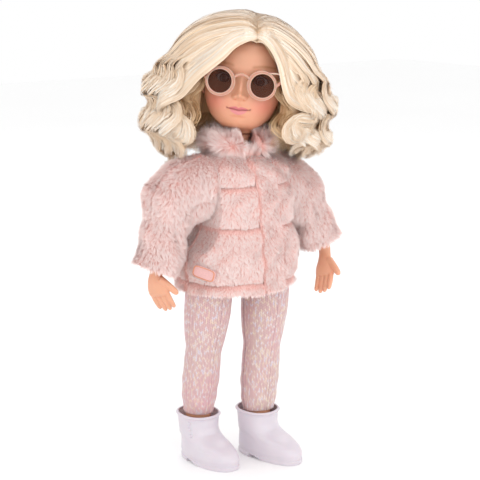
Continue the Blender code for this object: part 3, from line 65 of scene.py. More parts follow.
HEAD_TURN = math.radians(-41)
ARM_SWING = {"left": math.radians(10), "right": math.radians(-5)}
LEG_SWING = {"left": math.radians(4.4), "right": math.radians(-4.4)}
SIDES = (("left", 1), ("right", -1))

# Head, eyes and sunglasses
HEAD_WIDTH = 0.060
HEAD_DEPTH = 0.067
HEAD_HEIGHT = 0.0807
HEAD_CENTRE_Y = 0.002
EYE_SPACING = 0.0268
EYE_HEIGHT = 0.041
EYE_RADIUS = 0.008
EYE_DEPTH = 0.0188
EYE_OPENING_WIDTH = 0.0112
EYE_OPENING_HEIGHT = 0.0078
IRIS_RADIUS = 0.0035
EAR_LENGTH = 0.015
LID_DEPTH = 0.0022
LENS_SPACING = 0.0314
LENS_DROP = 0.0023
LENS_RADIUS = 0.0086
RIM_WIDTH = 0.0027
FRAME_THICKNESS = 0.0022
FRAME_FORWARD = 0.0368
LENS_THICKNESS = 0.0009
LENS_SEAT = 0.0004
RIM_STEPS = 120
RIM_COLUMNS = 24
END_REACH = 0.0146
END_RISE = 0.0094
SIDE_ARM_LENGTH = 0.049
SIDE_ARM_HEIGHT = 0.0026
SIDE_ARM_THICKNESS = 0.0016

# Face: the relief and paint of lids, mouth, brows, cheeks and nose, in the head's frame
LID_SQUEEZE = 0.22
LOWER_LID_SHARE = 1.18
MOUTH_HEIGHT = 0.0190
MOUTH_WIDTH = 0.0180
LIPS_SHARE = 0.80
UPPER_LIP = 0.0023
LOWER_LIP = 0.0034
MOUTH_GROOVE = 0.0011
BROW_START = 0.0068
BROW_LENGTH = 0.0185
BROW_HEIGHT = 0.0508
BROW_ARCH = 0.0022
BROW_THICKNESS = 0.00125
BLUSH_X = 0.0185
BLUSH_HEIGHT = 0.0235
NOSTRIL_X = 0.0031
NOSTRIL_HEIGHT = 0.0262
NOSE_WING_X = 0.0034
NOSE_WING_HEIGHT = 0.0287
NOSE_WING_RADIUS = 0.0026
CHIN_DIMPLE_HEIGHT = 0.0140
LASH_COUNT = 26
LASH_ROOT_Y = -0.0276
LASH_LENGTH = 0.0022

# Neck and torso
NECK_RADIUS = 0.0094
NECK_LENGTH = 0.029
TORSO_BOTTOM = 0.183
TORSO_TOP = 0.241
CHEST_WIDTH = 0.056
CHEST_DEPTH = 0.039

# Arms and hands
SHOULDER_SPACING = 0.0572
ARM_RADIUS = 0.0095
ARM_REACH_OUT = 0.0435
ARM_DROP = 0.0505
ARM_COLUMNS = 32
UPPER_ARM_SLIMNESS = 0.80
FOREARM_LENGTH = 0.0255
PALM_LENGTH = 0.0180
PALM_WIDTH = 0.0165
PALM_THICKNESS = 0.0080
FINGER_LENGTH = 0.0142
FINGER_RADIUS = 0.00205
THUMB_LENGTH = 0.0145
HAND_TURN = {1: math.radians(18), -1: math.radians(-26)}
HAND_DROP = {1: 0.0050, -1: 0.0005}
HAND_OUT = {1: 0.0, -1: 0.0030}
ELBOW_SHARE = 0.70

# Legs, leggings and boots
HIP_SPACING = 0.053
ANKLE_SPACING = 0.0444
THIGH_RADIUS = 0.0160
LEG_LEAN_BACK = 0.0125
LEGGINGS_HEM = 0.0384
STITCH_WIDTH = 0.0028
STITCH_HEIGHT = 0.0021
LEGGINGS_RISE = 0.0085
LEFT_LEG_SPREAD = 0.0018
WAIST_STITCHES = 56
BOOT_LENGTH = 0.0605
BOOT_WIDTH = 0.0290
BOOT_HEIGHT = 0.0382
BOOT_WALL = 0.0013
BOOT_HEEL_LENGTH = 0.017
BOOT_ARCH = 0.0030
BOOT_TURN = {1: math.radians(14), -1: math.radians(2)}
BUTTON_RADIUS = 0.001265
BUTTON_HEIGHT_SHARES = (0.86, 0.73, 0.60)
BOOT_RIM_RISE = 0.0016

# Hair
HAIR_HALF_WIDTH = 0.0735
HAIR_HALF_DEPTH = 0.063
HAIR_TOP = 0.0915
HAIR_SIDE_CHANNEL = 0.0334
HAIR_FULLNESS_SHARES = {1: 0.965, -1: 1.025}

# Coat
COAT_HALF_WIDTH = 0.048
COAT_HALF_DEPTH = 0.0405
COAT_HEM = 0.1395
COAT_COLLAR_BASE = 0.2490
COAT_QUILT_SEAM = 0.1940
COAT_PUFF = 0.0022
ARMHOLE_X = 0.0330
ARMHOLE_RADIUS = 0.0200
SLEEVE_RADIUS = 0.0168
SLEEVE_BORE = 0.0140
CUFF_RADIUS = 0.0170
SLEEVE_END_SHARES = {1: 0.97, -1: 1.05}
SLEEVE_OUT = {1: 0.0020, -1: 0.0062}
SLEEVE_BACK = {1: -0.0006, -1: 0.0040}
SLEEVE_PUFF = {1: 0.0075, -1: 0.0100}
SLEEVE_FLAT = {1: 0.08, -1: 0.30}
COLLAR_HEIGHT = 0.0115
COLLAR_RADIUS = 0.0245
COLLAR_BORE = 0.0140
COLLAR_OPENING = 0.0150
COLLAR_OPENING_X = -0.004
PLACKET_WIDTH = 0.0190
PLACKET_TOP_X = 0.0004
PLACKET_FOOT_X = 0.0052
PLACKET_THICKNESS = 0.0030
PLACKET_FOOT_RISE = 0.0062
TAPE_WIDTH = 0.008
TAPE_THICKNESS = 0.0006
PANEL_GAP = math.radians(0.6)
PATCH_WIDTH = 0.0172
PATCH_HEIGHT = 0.0092
PATCH_THICKNESS = 0.0008
PATCH_CENTRE = 0.1615
PATCH_ANGLE = math.radians(-66.5)
PATCH_TILT = math.radians(-15)
PATCH_STITCH_RADIUS = 0.00024
PILE_PER_AREA = 6.5e6
BLADE_WIDTH = 0.00022
PILE_LENGTH = 0.0034
BACK_PILE_LENGTH = 0.0036
SLEEVE_PILE_LENGTH = 0.0044
COLLAR_PILE_LENGTH = 0.0088
COLLAR_FRONT_PILE_LENGTH = 0.0090
PILE_LEAN = math.radians(24)
PLACKET_PILE_LEAN = math.radians(30)
SLEEVE_PILE_LEAN = math.radians(32)
COLLAR_PILE_LEAN = math.radians(58)
COLLAR_FRONT_PILE_LEAN = math.radians(52)
CLUMP_BLADES = 13
SKIN_GAP = 0.0003

# Head outline from the neck seam up: height, half width, front and back, as shares of the head's sizes
HEAD_SECTION_SHARES = (
    (0.000, 0.350, 0.185, 0.125), (0.035, 0.410, 0.240, 0.165), (0.070, 0.520, 0.385, 0.225),
    (0.105, 0.630, 0.450, 0.270), (0.160, 0.760, 0.478, 0.330), (0.250, 0.880, 0.486, 0.420),
    (0.340, 0.953, 0.488, 0.470), (0.430, 0.988, 0.488, 0.500), (0.520, 1.000, 0.490, 0.508),
    (0.620, 0.998, 0.497, 0.507), (0.720, 0.953, 0.485, 0.492), (0.815, 0.845, 0.445, 0.442),
    (0.900, 0.655, 0.360, 0.350), (0.960, 0.430, 0.240, 0.235), (1.000, 0.130, 0.075, 0.070),
)
# Face relief: across, up, spread across, spread up, height forward, as shares of width, height, depth
FACE_RELIEF_SHARES = (
    (0.000, 0.366, 0.050, 0.034, 0.080), (0.000, 0.440, 0.042, 0.070, 0.036),
    (0.064, 0.350, 0.028, 0.024, 0.032), (0.000, 0.258, 0.105, 0.024, 0.018),
    (0.000, 0.214, 0.080, 0.022, 0.022), (0.000, 0.120, 0.105, 0.055, 0.026),
    (0.245, 0.310, 0.130, 0.085, 0.018), (0.205, 0.508, 0.125, 0.060, -0.036),
    (0.200, 0.620, 0.150, 0.045, 0.012), (0.000, 0.292, 0.018, 0.020, -0.006),
    (0.040, 0.334, 0.014, 0.009, -0.016), (0.152, 0.240, 0.020, 0.012, -0.010),
    (0.000, 0.176, 0.075, 0.014, -0.008),
)
# Torso from its foot up: height share, width and depth as shares of the chest's
TORSO_SECTION_SHARES = (
    (0.00, 0.940, 0.940), (0.12, 0.930, 0.950), (0.26, 0.850, 0.860), (0.46, 0.920, 0.930),
)
# Leg from ankle to hip: height share of the hip's height, radius share of the thigh's, lean share
LEG_SECTION_SHARES = (
    (0.175, 0.560, 1.050), (0.262, 0.700, 1.010), (0.309, 0.760, 0.970), (0.360, 0.805, 0.900),
    (0.420, 0.822, 0.790), (0.485, 0.806, 0.680), (0.550, 0.782, 0.560), (0.640, 0.880, 0.390),
    (0.760, 0.985, 0.190), (0.920, 1.000, 0.020), (1.000, 1.000, 0.000),
)
# Boot: height, toe and heel ends from the ankle, half width, as shares of the boot's sizes
BOOT_SECTION_SHARES = (
    (0.000, 0.706, 0.278, 0.480), (0.030, 0.716, 0.286, 0.492), (0.082, 0.718, 0.286, 0.494),
    (0.092, 0.706, 0.276, 0.478), (0.190, 0.714, 0.280, 0.500), (0.320, 0.672, 0.276, 0.496),
    (0.430, 0.555, 0.268, 0.492), (0.530, 0.385, 0.256, 0.494), (0.630, 0.285, 0.250, 0.502),
    (0.760, 0.256, 0.254, 0.516), (0.900, 0.258, 0.262, 0.532), (0.945, 0.270, 0.274, 0.552),
    (0.985, 0.272, 0.276, 0.556), (1.000, 0.266, 0.270, 0.546),
)
# Hair outline from the bottom of the back up to the crown: height share of the hair's top, then
# half width, front and back as shares of the hair's sizes
HAIR_SECTION_SHARES = (
    (-0.235, 0.745, 0.560, 0.700), (-0.180, 0.850, 0.640, 0.800), (-0.120, 0.920, 0.700, 0.870),
    (-0.050, 0.985, 0.740, 0.930), (0.010, 0.990, 0.750, 0.960), (0.075, 0.985, 0.730, 0.970),
    (0.150, 0.985, 0.715, 0.980), (0.210, 1.000, 0.725, 0.990), (0.300, 1.000, 0.730, 1.000),
    (0.380, 0.975, 0.710, 0.990), (0.460, 0.915, 0.680, 0.960), (0.520, 0.860, 0.660, 0.930),
    (0.570, 0.775, 0.650, 0.890), (0.630, 0.740, 0.645, 0.860), (0.705, 0.700, 0.625, 0.810),
    (0.800, 0.600, 0.560, 0.730), (0.880, 0.475, 0.460, 0.610), (0.945, 0.315, 0.310, 0.440),
    (1.000, 0.080, 0.090, 0.100),
)
# Coat outline from hem to collar: height share, then outer half width, outer half depth, widest X
# allowed beside the sleeves, inner half width and inner half depth, as shares of the coat's sizes
COAT_SECTION_SHARES = (
    (0.000, 0.985, 0.985, 1.00, 0.925, 0.905), (0.050, 1.005, 1.005, 1.01, 0.925, 0.910),
    (0.115, 0.980, 0.985, 1.00, 0.925, 0.905), (0.230, 1.000, 1.000, 1.00, 0.925, 0.890),
    (0.320, 0.985, 0.990, 0.97, 0.905, 0.860), (0.370, 0.945, 0.975, 0.870, 0.820, 0.800),
    (0.420, 0.890, 0.955, 0.785, 0.730, 0.740), (0.498, 0.850, 0.930, 0.705, 0.650, 0.650),
    (0.560, 0.840, 0.920, 0.6875, 0.625, 0.580), (0.660, 0.840, 0.910, 0.6875, 0.600, 0.550),
    (0.781, 0.835, 0.830, 0.6875, 0.606, 0.540), (0.870, 0.820, 0.770, 0.6875, 0.600, 0.540),
    (0.925, 0.750, 0.680, 0.6875, 0.530, 0.450), (0.955, 0.640, 0.580, 0.6400, 0.340, 0.360),
    (1.000, 0.470, 0.480, 0.5000, 0.290, 0.340),
)
COAT_SEAM_SHARES = (0.0, 0.115, 0.498, 0.781, 1.0)
# Sleeve from armhole to cuff: share of the arm's reach, radius share, bore share, tilt share
SLEEVE_SECTION_SHARES = (
    (0.000, 1.000, 0.98, 0.0), (0.130, 1.015, 1.00, 0.25), (0.300, 1.030, 1.00, 0.60),
    (0.500, 1.025, 1.00, 0.90), (0.720, 1.005, 1.00, 1.0), (0.930, 0.985, 1.00, 1.0),
    (1.000, 0.910, 0.97, 1.0),
)
# Arm: share of the way to the elbow or from it to the wrist, and radius share
UPPER_ARM_SHARES = ((0.00, 0.95), (0.15, 0.93), (0.40, 0.87), (0.70, 0.80), (1.00, 0.74))
FOREARM_SHARES = ((0.35, 0.69), (0.75, 0.58), (1.00, 0.52))
# Palm from wrist to knuckles: share of its length, then width and thickness shares
PALM_SHARES = ((0.25, 0.72, 0.92), (0.6, 1.0, 1.0), (0.92, 1.02, 0.86), (1.0, 0.86, 0.6))
# Fingers from the first to the little one
FINGER_LENGTH_SHARES = (0.86, 0.98, 1.0, 0.84)

# Frames: the doll's axis, the head, the neck, each arm and each leg
BODY_FRAME = Matrix.Translation((0, AXIS_Y, 0))
LEAN_AXIS = Vector((0, -math.sin(NECK_LEAN), math.cos(NECK_LEAN)))
NECK_PLACE = Matrix.Translation((0, AXIS_Y, NECK_HEIGHT))
HEAD_FRAME = NECK_PLACE @ Quaternion(LEAN_AXIS, HEAD_TURN).to_matrix().to_4x4()
NECK_FRAME = NECK_PLACE @ Vector((0, 0, 1)).rotation_difference(LEAN_AXIS).to_matrix().to_4x4()


def swing_frame(height, swing):
    """The frame of a limb that is turned about the X axis at a height on the doll's axis."""
    return Matrix.Translation((0, AXIS_Y, height)) @ Quaternion((-1, 0, 0), swing).to_matrix().to_4x4()


ARM_FRAME = {word: swing_frame(SHOULDER_HEIGHT, ARM_SWING[word]) for word, _ in SIDES}
LEG_FRAME = {word: swing_frame(HIP_HEIGHT, LEG_SWING[word]) for word, _ in SIDES}


# Curves and outlines


def full_turn(count):
    """Evenly spaced angles of one turn, without the last, which is the first again."""
    return np.arange(count) * 2 * math.pi / count


def rows_by_columns(down, across):
    """Two grids: the value of each row and the value of each column."""
    return np.meshgrid(down, across, indexing="ij")


def shaped(table, at, column=1):
    """The values of a table's column where its first column is at, on a smooth curve through the rows."""
    rows = np.array(table, float)
    x, y = rows[:, 0], rows[:, column]
    step = np.diff(y) / np.diff(x)
    slope = np.zeros(len(y))
    slope[0], slope[-1] = step[0], step[-1]
    both = step[:-1] * step[1:]
    total = np.where(both > 0, step[:-1] + step[1:], 1)
    slope[1:-1] = np.where(both > 0, 2 * both / total, 0)
    at = np.clip(at, x[0], x[-1])
    i = np.clip(np.searchsorted(x, at, side="right") - 1, 0, len(x) - 2)
    rise = x[i + 1] - x[i]
    t = (at - x[i]) / rise
    return (
        (2 * t**3 - 3 * t**2 + 1) * y[i]
        + (t**3 - 2 * t**2 + t) * rise * slope[i]
        + (3 * t**2 - 2 * t**3) * y[i + 1]
        + (t**3 - t**2) * rise * slope[i + 1]
    )


def oval_reach(angle, half_width, front, back, power=2.0):
    """How far a rounded oval reaches at an angle measured from -Y towards +X."""
    s, c = np.sin(angle), np.cos(angle)
    depth = np.where(c > 0, front, back)
    return (np.abs(s / half_width) ** power + np.abs(c / depth) ** power) ** (-1 / power)


def round_about(angle, reach, height):
    """Points at an angle and reach round the axis."""
    return np.stack(np.broadcast_arrays(reach * np.sin(angle), -reach * np.cos(angle), height), -1)


def smooth_step(low, high, at):
    t = np.clip((at - low) / (high - low), 0, 1)
    return t * t * (3 - 2 * t)


def bell(at, middle, spread):
    return np.exp(-(((at - middle) / spread) ** 2))


def unit(vectors):
    return vectors / np.maximum(np.linalg.norm(vectors, axis=-1, keepdims=True), 1e-12)


# Meshes

NO_TRIANGLES = np.zeros((0, 3), int)


def grid_quads(rows, columns, wrap=True, start=0):
    """Quads of a grid of points, row by row. wrap joins the last column to the first."""
    across = columns if wrap else columns - 1
    i, j = rows_by_columns(np.arange(rows - 1), np.arange(across))
    k = (j + 1) % columns
    here, below = i * columns, (i + 1) * columns
    return start + np.stack([here + j, here + k, below + k, below + j], -1).reshape(-1, 4)


def new_mesh(name, points, quads=None, triangles=None, values=None, uv=None):
    """A smooth mesh from arrays. values are named point values, and uv is a place for each face corner."""
    quads = np.zeros((0, 4), int) if quads is None else np.asarray(quads)
    triangles = NO_TRIANGLES if triangles is None else np.asarray(triangles)
    mesh = bpy.data.meshes.new(name)
    points = np.asarray(points, np.float32).reshape(-1, 3)
    mesh.vertices.add(len(points))
    mesh.vertices.foreach_set("co", points.ravel())
    corners = np.concatenate([quads.ravel(), triangles.ravel()]).astype(np.int32)
    mesh.loops.add(len(corners))
    mesh.loops.foreach_set("vertex_index", corners)
    starts = np.concatenate([np.arange(len(quads)) * 4, len(quads) * 4 + np.arange(len(triangles)) * 3])
    mesh.polygons.add(len(starts))
    mesh.polygons.foreach_set("loop_start", starts.astype(np.int32))
    mesh.update(calc_edges=True)
    for key, value in (values or {}).items():
        layer = mesh.attributes.new(key, "FLOAT", "POINT")
        layer.data.foreach_set("value", np.asarray(value, np.float32).ravel())
    if uv is not None:
        layer = mesh.uv_layers.new(name="OFBake")
        layer.uv.foreach_set("vector", np.asarray(uv, np.float32).ravel())
    mesh.validate()
    mesh.shade_smooth()
    return mesh


def facing_out(mesh):
    """The mesh with all its faces turned outward."""
    form = bmesh.new()
    form.from_mesh(mesh)
    bmesh.ops.recalc_face_normals(form, faces=form.faces)
    form.to_mesh(mesh)
    form.free()
    return mesh


def place(name, mesh, matrix, body, material, replaces=()):
    """The mesh as a named piece that rides on a body; a skirt piece instead has its place baked into its
    points and rides on none.
    """
    piece = bpy.data.objects.new(name, mesh)
    bpy.context.scene.collection.objects.link(piece)
    piece.matrix_world = matrix
    mesh.materials.clear()
    mesh.materials.append(material)
    if body.startswith("skirt_"):
        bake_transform(piece)
    else:
        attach(piece, body)
    if replaces:
        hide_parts(*replaces)
    return piece


def lofted(rings, close_ends=True):
    """Points, quads and triangles of a body through closed rings of points."""
    rings = np.asarray(rings, float)
    rows, columns = rings.shape[:2]
    points = rings.reshape(-1, 3)
    quads = grid_quads(rows, columns)
    triangles = NO_TRIANGLES
    if close_ends:
        ends = np.stack([rings[0].mean(0), rings[-1].mean(0)])
        points = np.concatenate([points, ends])
        j = np.arange(columns)
        k = (j + 1) % columns
        low = np.stack([np.full(columns, rows * columns), k, j], -1)
        last = (rows - 1) * columns
        high = np.stack([np.full(columns, rows * columns + 1), last + j, last + k], -1)
        triangles = np.concatenate([low, high])
    return points, quads, triangles


def joined(parts):
    """Several (points, quads, triangles) as one."""
    points, quads, triangles, start = [], [], [], 0
    for p, q, t in parts:
        points.append(p)
        quads.append(q + start)
        triangles.append(t + start)
        start += len(p)
    return np.concatenate(points), np.concatenate(quads), np.concatenate(triangles)


def smooth_path(places, values, count):
    """Evenly spaced points of a smooth curve through places, and the values along it."""
    places = np.asarray(places, float)
    values = np.asarray(values, float)
    reach = np.concatenate([[0], np.cumsum(np.linalg.norm(np.diff(places, axis=0), axis=1))])
    at = np.linspace(0, reach[-1], count)
    columns = [shaped(np.stack([reach, places[:, i]], -1), at) for i in range(3)]
    return np.stack(columns, -1), shaped(np.stack([reach, values], -1), at)


def side_directions(path, guide):
    """Two directions square to a path at each point, the first as close to the guide as it can be."""
    along = unit(np.gradient(path, axis=-2))
    first = unit(guide - along * np.sum(guide * along, -1, keepdims=True))
    return along, first, np.cross(along, first)


def round_bar(places, radii, count=24, columns=20, flat=1.0, guide=(0, 1, 0)):
    """A round bar along a smooth path, with rounded ends. flat is its thickness across the guide."""
    path, reach = smooth_path(places, radii, count)
    _, first, second = side_directions(path, np.array(guide, float))
    a = full_turn(columns)
    rings = (path[:, None] + first[:, None] * (np.cos(a)[None, :, None] * reach[:, None, None])
             + second[:, None] * (np.sin(a)[None, :, None] * reach[:, None, None] * flat))
    return lofted(rings)


def mirrored(points, side):
    points = np.array(points, float)
    points[..., 0] *= side
    return points


# Node materials


class Look:
    """A Principled material and short ways to add nodes to it."""

    def __init__(self, name, colour, roughness, **inputs):
        self.material = bpy.data.materials.new(name)
        self.material.use_nodes = True
        self.tree = self.material.node_tree
        self.shader = self.tree.nodes["Principled BSDF"]
        self.shader.inputs["Base Color"].default_value = (*colour, 1)
        self.shader.inputs["Roughness"].default_value = roughness
        for key, value in inputs.items():
            self.shader.inputs[key.replace("_", " ")].default_value = value

    def node(self, kind, **settings):
        node = self.tree.nodes.new(kind)
        for key, value in settings.items():
            setattr(node, key, value)
        return node

    def link(self, source, target):
        self.tree.links.new(source, target)

    def value(self, name):
        """A named point value of the mesh."""
        return self.node("ShaderNodeAttribute", attribute_name=name).outputs["Fac"]

    def places(self):
        return self.node("ShaderNodeTexCoord").outputs["Object"]

    def uv(self):
        node = self.node("ShaderNodeUVMap", uv_map="OFBake")
        parts = self.node("ShaderNodeSeparateXYZ")
        self.link(node.outputs["UV"], parts.inputs[0])
        return parts.outputs["X"], parts.outputs["Y"]

    def noise(self, scale, detail=3, stretch=None, roughness=0.5):
        node = self.node("ShaderNodeTexNoise")
        node.inputs["Scale"].default_value = scale
        node.inputs["Detail"].default_value = detail
        node.inputs["Roughness"].default_value = roughness
        source = self.places()
        if stretch:
            mapping = self.node("ShaderNodeMapping")
            mapping.inputs["Scale"].default_value = stretch
            self.link(source, mapping.inputs["Vector"])
            source = mapping.outputs["Vector"]
        self.link(source, node.inputs["Vector"])
        return node.outputs["Fac"]

    def ramp(self, source, stops):
        node = self.node("ShaderNodeValToRGB")
        elements = node.color_ramp.elements
        while len(elements) < len(stops):
            elements.new(0.5)
        for element, (at, colour) in zip(elements, stops):
            element.position = at
            element.color = (*colour, 1)
        self.link(source, node.inputs["Fac"])
        return node.outputs["Color"]

    def math(self, operation, a, b=None):
        node = self.node("ShaderNodeMath", operation=operation)
        for socket, item in zip(node.inputs, (a, b)):
            if item is None:
                continue
            if isinstance(item, (int, float)):
                socket.default_value = item
            else:
                self.link(item, socket)
        return node.outputs[0]

    def mix(self, share, a, b, blend="MIX"):
        """Colour a turned into colour b by a share."""
        node = self.node("ShaderNodeMix", data_type="RGBA", blend_type=blend)
        for socket, item in ((node.inputs[0], share), (node.inputs[6], a), (node.inputs[7], b)):
            if isinstance(item, tuple):
                socket.default_value = (*item, 1)
            elif isinstance(item, (int, float)):
                socket.default_value = item
            else:
                self.link(item, socket)
        return node.outputs[2]

    def colour(self, source):
        self.link(source, self.shader.inputs["Base Color"])

    def rough(self, source, low, high):
        node = self.node("ShaderNodeMapRange")
        node.inputs["To Min"].default_value = low
        node.inputs["To Max"].default_value = high
        self.link(source, node.inputs["Value"])
        self.link(node.outputs[0], self.shader.inputs["Roughness"])

    def bump(self, source, distance, strength=1.0):
        node = self.node("ShaderNodeBump")
        node.inputs["Distance"].default_value = distance
        node.inputs["Strength"].default_value = strength
        self.link(source, node.inputs["Height"])
        self.link(node.outputs[0], self.shader.inputs["Normal"])


SKIN = (0.755, 0.375, 0.235)
# Painted shade of the skin, laid on where the face's shade value is high
SKIN_SHADE = (0.62, 0.22, 0.11)
BLUSH = (0.80, 0.27, 0.19)
LIP = (0.62, 0.17, 0.18)
LIP_LOW = (0.72, 0.26, 0.26)
LIP_LINE = (0.22, 0.035, 0.03)
BROW = (0.46, 0.17, 0.065)
LID_INK = (0.025, 0.022, 0.03)
# Fur colours from root to tip; the deep root colour is partly the pile's own and partly painted shade down
# in the pile, and it also darkens whole blades as painted shade in the hollows
FUR_ROOT = (0.95, 0.51, 0.43)
FUR_MID = (0.985, 0.80, 0.765)
FUR_TIP = (0.98, 0.91, 0.89)
# Hair tones: the darkest is painted shade on inner locks and roots, the palest painted highlight on wave
# crests
HAIR_DARK = (0.72, 0.47, 0.24)
HAIR_MID = (0.84, 0.61, 0.39)
HAIR_LIGHT = (0.93, 0.77, 0.61)
HAIR_PAINTED_HIGHLIGHT = (0.97, 0.92, 0.84)
BOOT_PALE = (0.67, 0.61, 0.66)
BOOT_DEEP = (0.63, 0.57, 0.63)
# Painted shade between the stitches, from a stitch's crown down to its deepest valley
KNIT_VALLEY = ((0.0, (0.66, 0.46, 0.46)), (0.5, (0.52, 0.32, 0.32)), (1.0, (0.26, 0.12, 0.13)))
# Foil colours of the yarn by each stitch's glint value; the palest stops are painted glints
KNIT_PALE = (
    (0.0, (0.62, 0.44, 0.44)), (0.50, (0.68, 0.54, 0.46)), (0.70, (0.88, 0.86, 0.60)),
    (0.85, (0.90, 0.90, 0.90)), (0.95, (0.62, 0.70, 0.90)),
)
KNIT_ROSY = (
    (0.0, (0.70, 0.46, 0.50)), (0.45, (0.78, 0.24, 0.42)), (0.70, (0.86, 0.50, 0.40)),
    (0.85, (0.60, 0.50, 0.56)), (0.95, (0.88, 0.80, 0.84)),
)
IRIS_RINGS = (
    (0.40, (0.004, 0.004, 0.005)), (0.46, (0.20, 0.14, 0.10)), (0.66, (0.16, 0.14, 0.13)),
    (0.82, (0.02, 0.018, 0.02)),
)


def vinyl_skin(name):
    """Moulded vinyl, a little mottled, as the limbs have it."""
    look = Look(name, SKIN, 0.46, Subsurface_Weight=0.12, Subsurface_Scale=0.004, Coat_Weight=0.08)
    mottle = look.noise(90, 4)
    look.colour(look.ramp(mottle, ((0.3, SKIN), (0.8, tuple(0.96 * c for c in SKIN)))))
    look.rough(look.noise(350, 3), 0.40, 0.54)
    look.bump(look.noise(2600, 2), 0.00006, 0.35)
    return look


def face_look():
    """The vinyl skin with the face painted on by the mesh's point values: make-up, and painted shade from
    the shade value.
    """
    look = vinyl_skin("face_vinyl")
    base = look.shader.inputs["Base Color"].links[0].from_socket
    for key, tint in (("shade", SKIN_SHADE), ("blush", BLUSH), ("lip", LIP), ("lip_low", LIP_LOW),
                      ("lip_line", LIP_LINE), ("brow", BROW), ("lid", LID_INK)):
        base = look.mix(look.value(key), base, tint)
    look.colour(base)
    gloss = look.math("ADD", look.value("lip"), look.value("lip_low"))
    fine = look.math("MULTIPLY", look.noise(350, 3), 0.3)
    dull = look.math("ADD", fine, 0.6)
    look.rough(look.math("SUBTRACT", dull, look.math("MULTIPLY", gloss, 0.6)), 0.25, 0.58)
    return look.material


def fur_look():
    """Pile that is deeper pink towards its roots, partly its own colour and partly painted shade down in
    the pile, and darker still by painted shade in its hollows beside seams.
    """
    look = Look("faux_fur", FUR_MID, 0.72, Sheen_Weight=0.6, Sheen_Roughness=0.4, Specular_IOR_Level=0.25)
    shade, along = look.uv()
    body = look.ramp(along, ((0.0, FUR_ROOT), (0.45, FUR_MID), (1.0, FUR_TIP)))
    # Painted shade: a low shade value turns the blade towards the darkened root colour
    deep = look.mix(0.75, body, FUR_ROOT, "MULTIPLY")
    look.colour(look.mix(shade, deep, body))
    return look.material


def fur_backing_look():
    look = Look("fur_backing", FUR_ROOT, 0.85, Sheen_Weight=0.3)
    streaks = look.noise(700, 4, (1, 1, 0.35))
    stops = ((0.25, (0.66, 0.28, 0.23)), (0.6, (0.84, 0.54, 0.50)), (0.85, FUR_MID))
    look.colour(look.ramp(streaks, stops))
    look.bump(streaks, 0.0009, 0.7)
    return look.material


def hair_look():
    look = Look("doll_hair", HAIR_MID, 0.38, Specular_IOR_Level=0.6, Sheen_Weight=0.1)
    shade, along = look.uv()
    # Tones from painted shade on inner locks and roots, through the hair's own golds, to painted highlight
    # on wave crests
    stops = ((0.0, HAIR_DARK), (0.45, HAIR_MID), (0.8, HAIR_LIGHT), (1.0, HAIR_PAINTED_HIGHLIGHT))
    look.colour(look.ramp(shade, stops))
    look.rough(along, 0.34, 0.48)
    return look.material


def under_hair_look():
    # Darker gold than the locks: painted shade under them
    look = Look("hair_under_layer", HAIR_DARK, 0.55)
    streaks = look.noise(500, 3, (1, 1, 0.12))
    look.colour(look.ramp(streaks, ((0.3, (0.70, 0.46, 0.24)), (0.7, (0.82, 0.60, 0.36)))))
    look.bump(streaks, 0.0006, 0.8)
    return look.material


def knit_look():
    """Yarn with glitter in it, in pale and rosy patches, with painted shade between the stitches and
    painted glints on some stitches.
    """
    look = Look("knit_leggings", (0.80, 0.56, 0.56), 0.6, Sheen_Weight=0.5, Sheen_Roughness=0.3)
    valley, glint = look.value("valley"), look.value("glint")
    base = look.ramp(valley, KNIT_VALLEY)
    pale = look.ramp(glint, KNIT_PALE)
    rosy = look.ramp(glint, KNIT_ROSY)
    patches = look.ramp(look.noise(28, 2, (1, 1, 0.5)), ((0.38, (0, 0, 0)), (0.72, (0.75, 0.75, 0.75))))
    shine = look.mix(patches, pale, rosy)
    # Only the stitches' crowns take the yarn's colour; the valleys keep the painted shade
    lift = look.math("MULTIPLY", look.math("SUBTRACT", 1.0, valley), 0.72)
    look.colour(look.mix(lift, base, shine))
    look.rough(glint, 0.65, 0.35)
    look.bump(look.noise(3000, 3), 0.00015, 0.5)
    return look.material


def boot_look():
    look = Look("boot_vinyl", (0.66, 0.60, 0.65), 0.36, Subsurface_Weight=0.08, Subsurface_Scale=0.003,
                Coat_Weight=0.15)
    look.colour(look.ramp(look.noise(60, 4), ((0.3, BOOT_PALE), (0.8, BOOT_DEEP))))
    look.rough(look.noise(300, 3), 0.30, 0.46)
    look.bump(look.noise(1500, 2), 0.00005, 0.4)
    return look.material


def frame_look():
    look = Look("sunglasses_plastic", (0.66, 0.34, 0.24), 0.22, Transmission_Weight=0.25, IOR=1.49,
                Subsurface_Weight=0.3, Subsurface_Scale=0.002, Coat_Weight=0.4)
    body = look.ramp(look.noise(260, 3), ((0.3, (0.66, 0.31, 0.21)), (0.8, (0.60, 0.27, 0.17))))
    # Painted highlight: the bright value mixes the plastic towards a pale colour on the rims' edges and the
    # top bars
    look.colour(look.mix(look.value("bright"), body, (0.90, 0.62, 0.50)))
    look.rough(look.noise(900, 2), 0.16, 0.26)
    return look.material


def lens_look():
    look = Look("sunglasses_lens", (0.04, 0.010, 0.005), 0.06, Alpha=0.57, Specular_IOR_Level=0.10)
    look.colour(look.ramp(look.noise(120, 2), ((0.3, (0.045, 0.010, 0.005)), (0.8, (0.032, 0.007, 0.003)))))
    look.rough(look.noise(500, 2), 0.04, 0.09)
    return look.material


def eye_look():
    look = Look("eye_white", (0.80, 0.79, 0.77), 0.12, Coat_Weight=0.6)
    look.colour(look.ramp(look.noise(200, 3), ((0.3, (0.82, 0.81, 0.79)), (0.8, (0.78, 0.75, 0.73)))))
    look.rough(look.noise(400, 2), 0.08, 0.16)
    return look.material


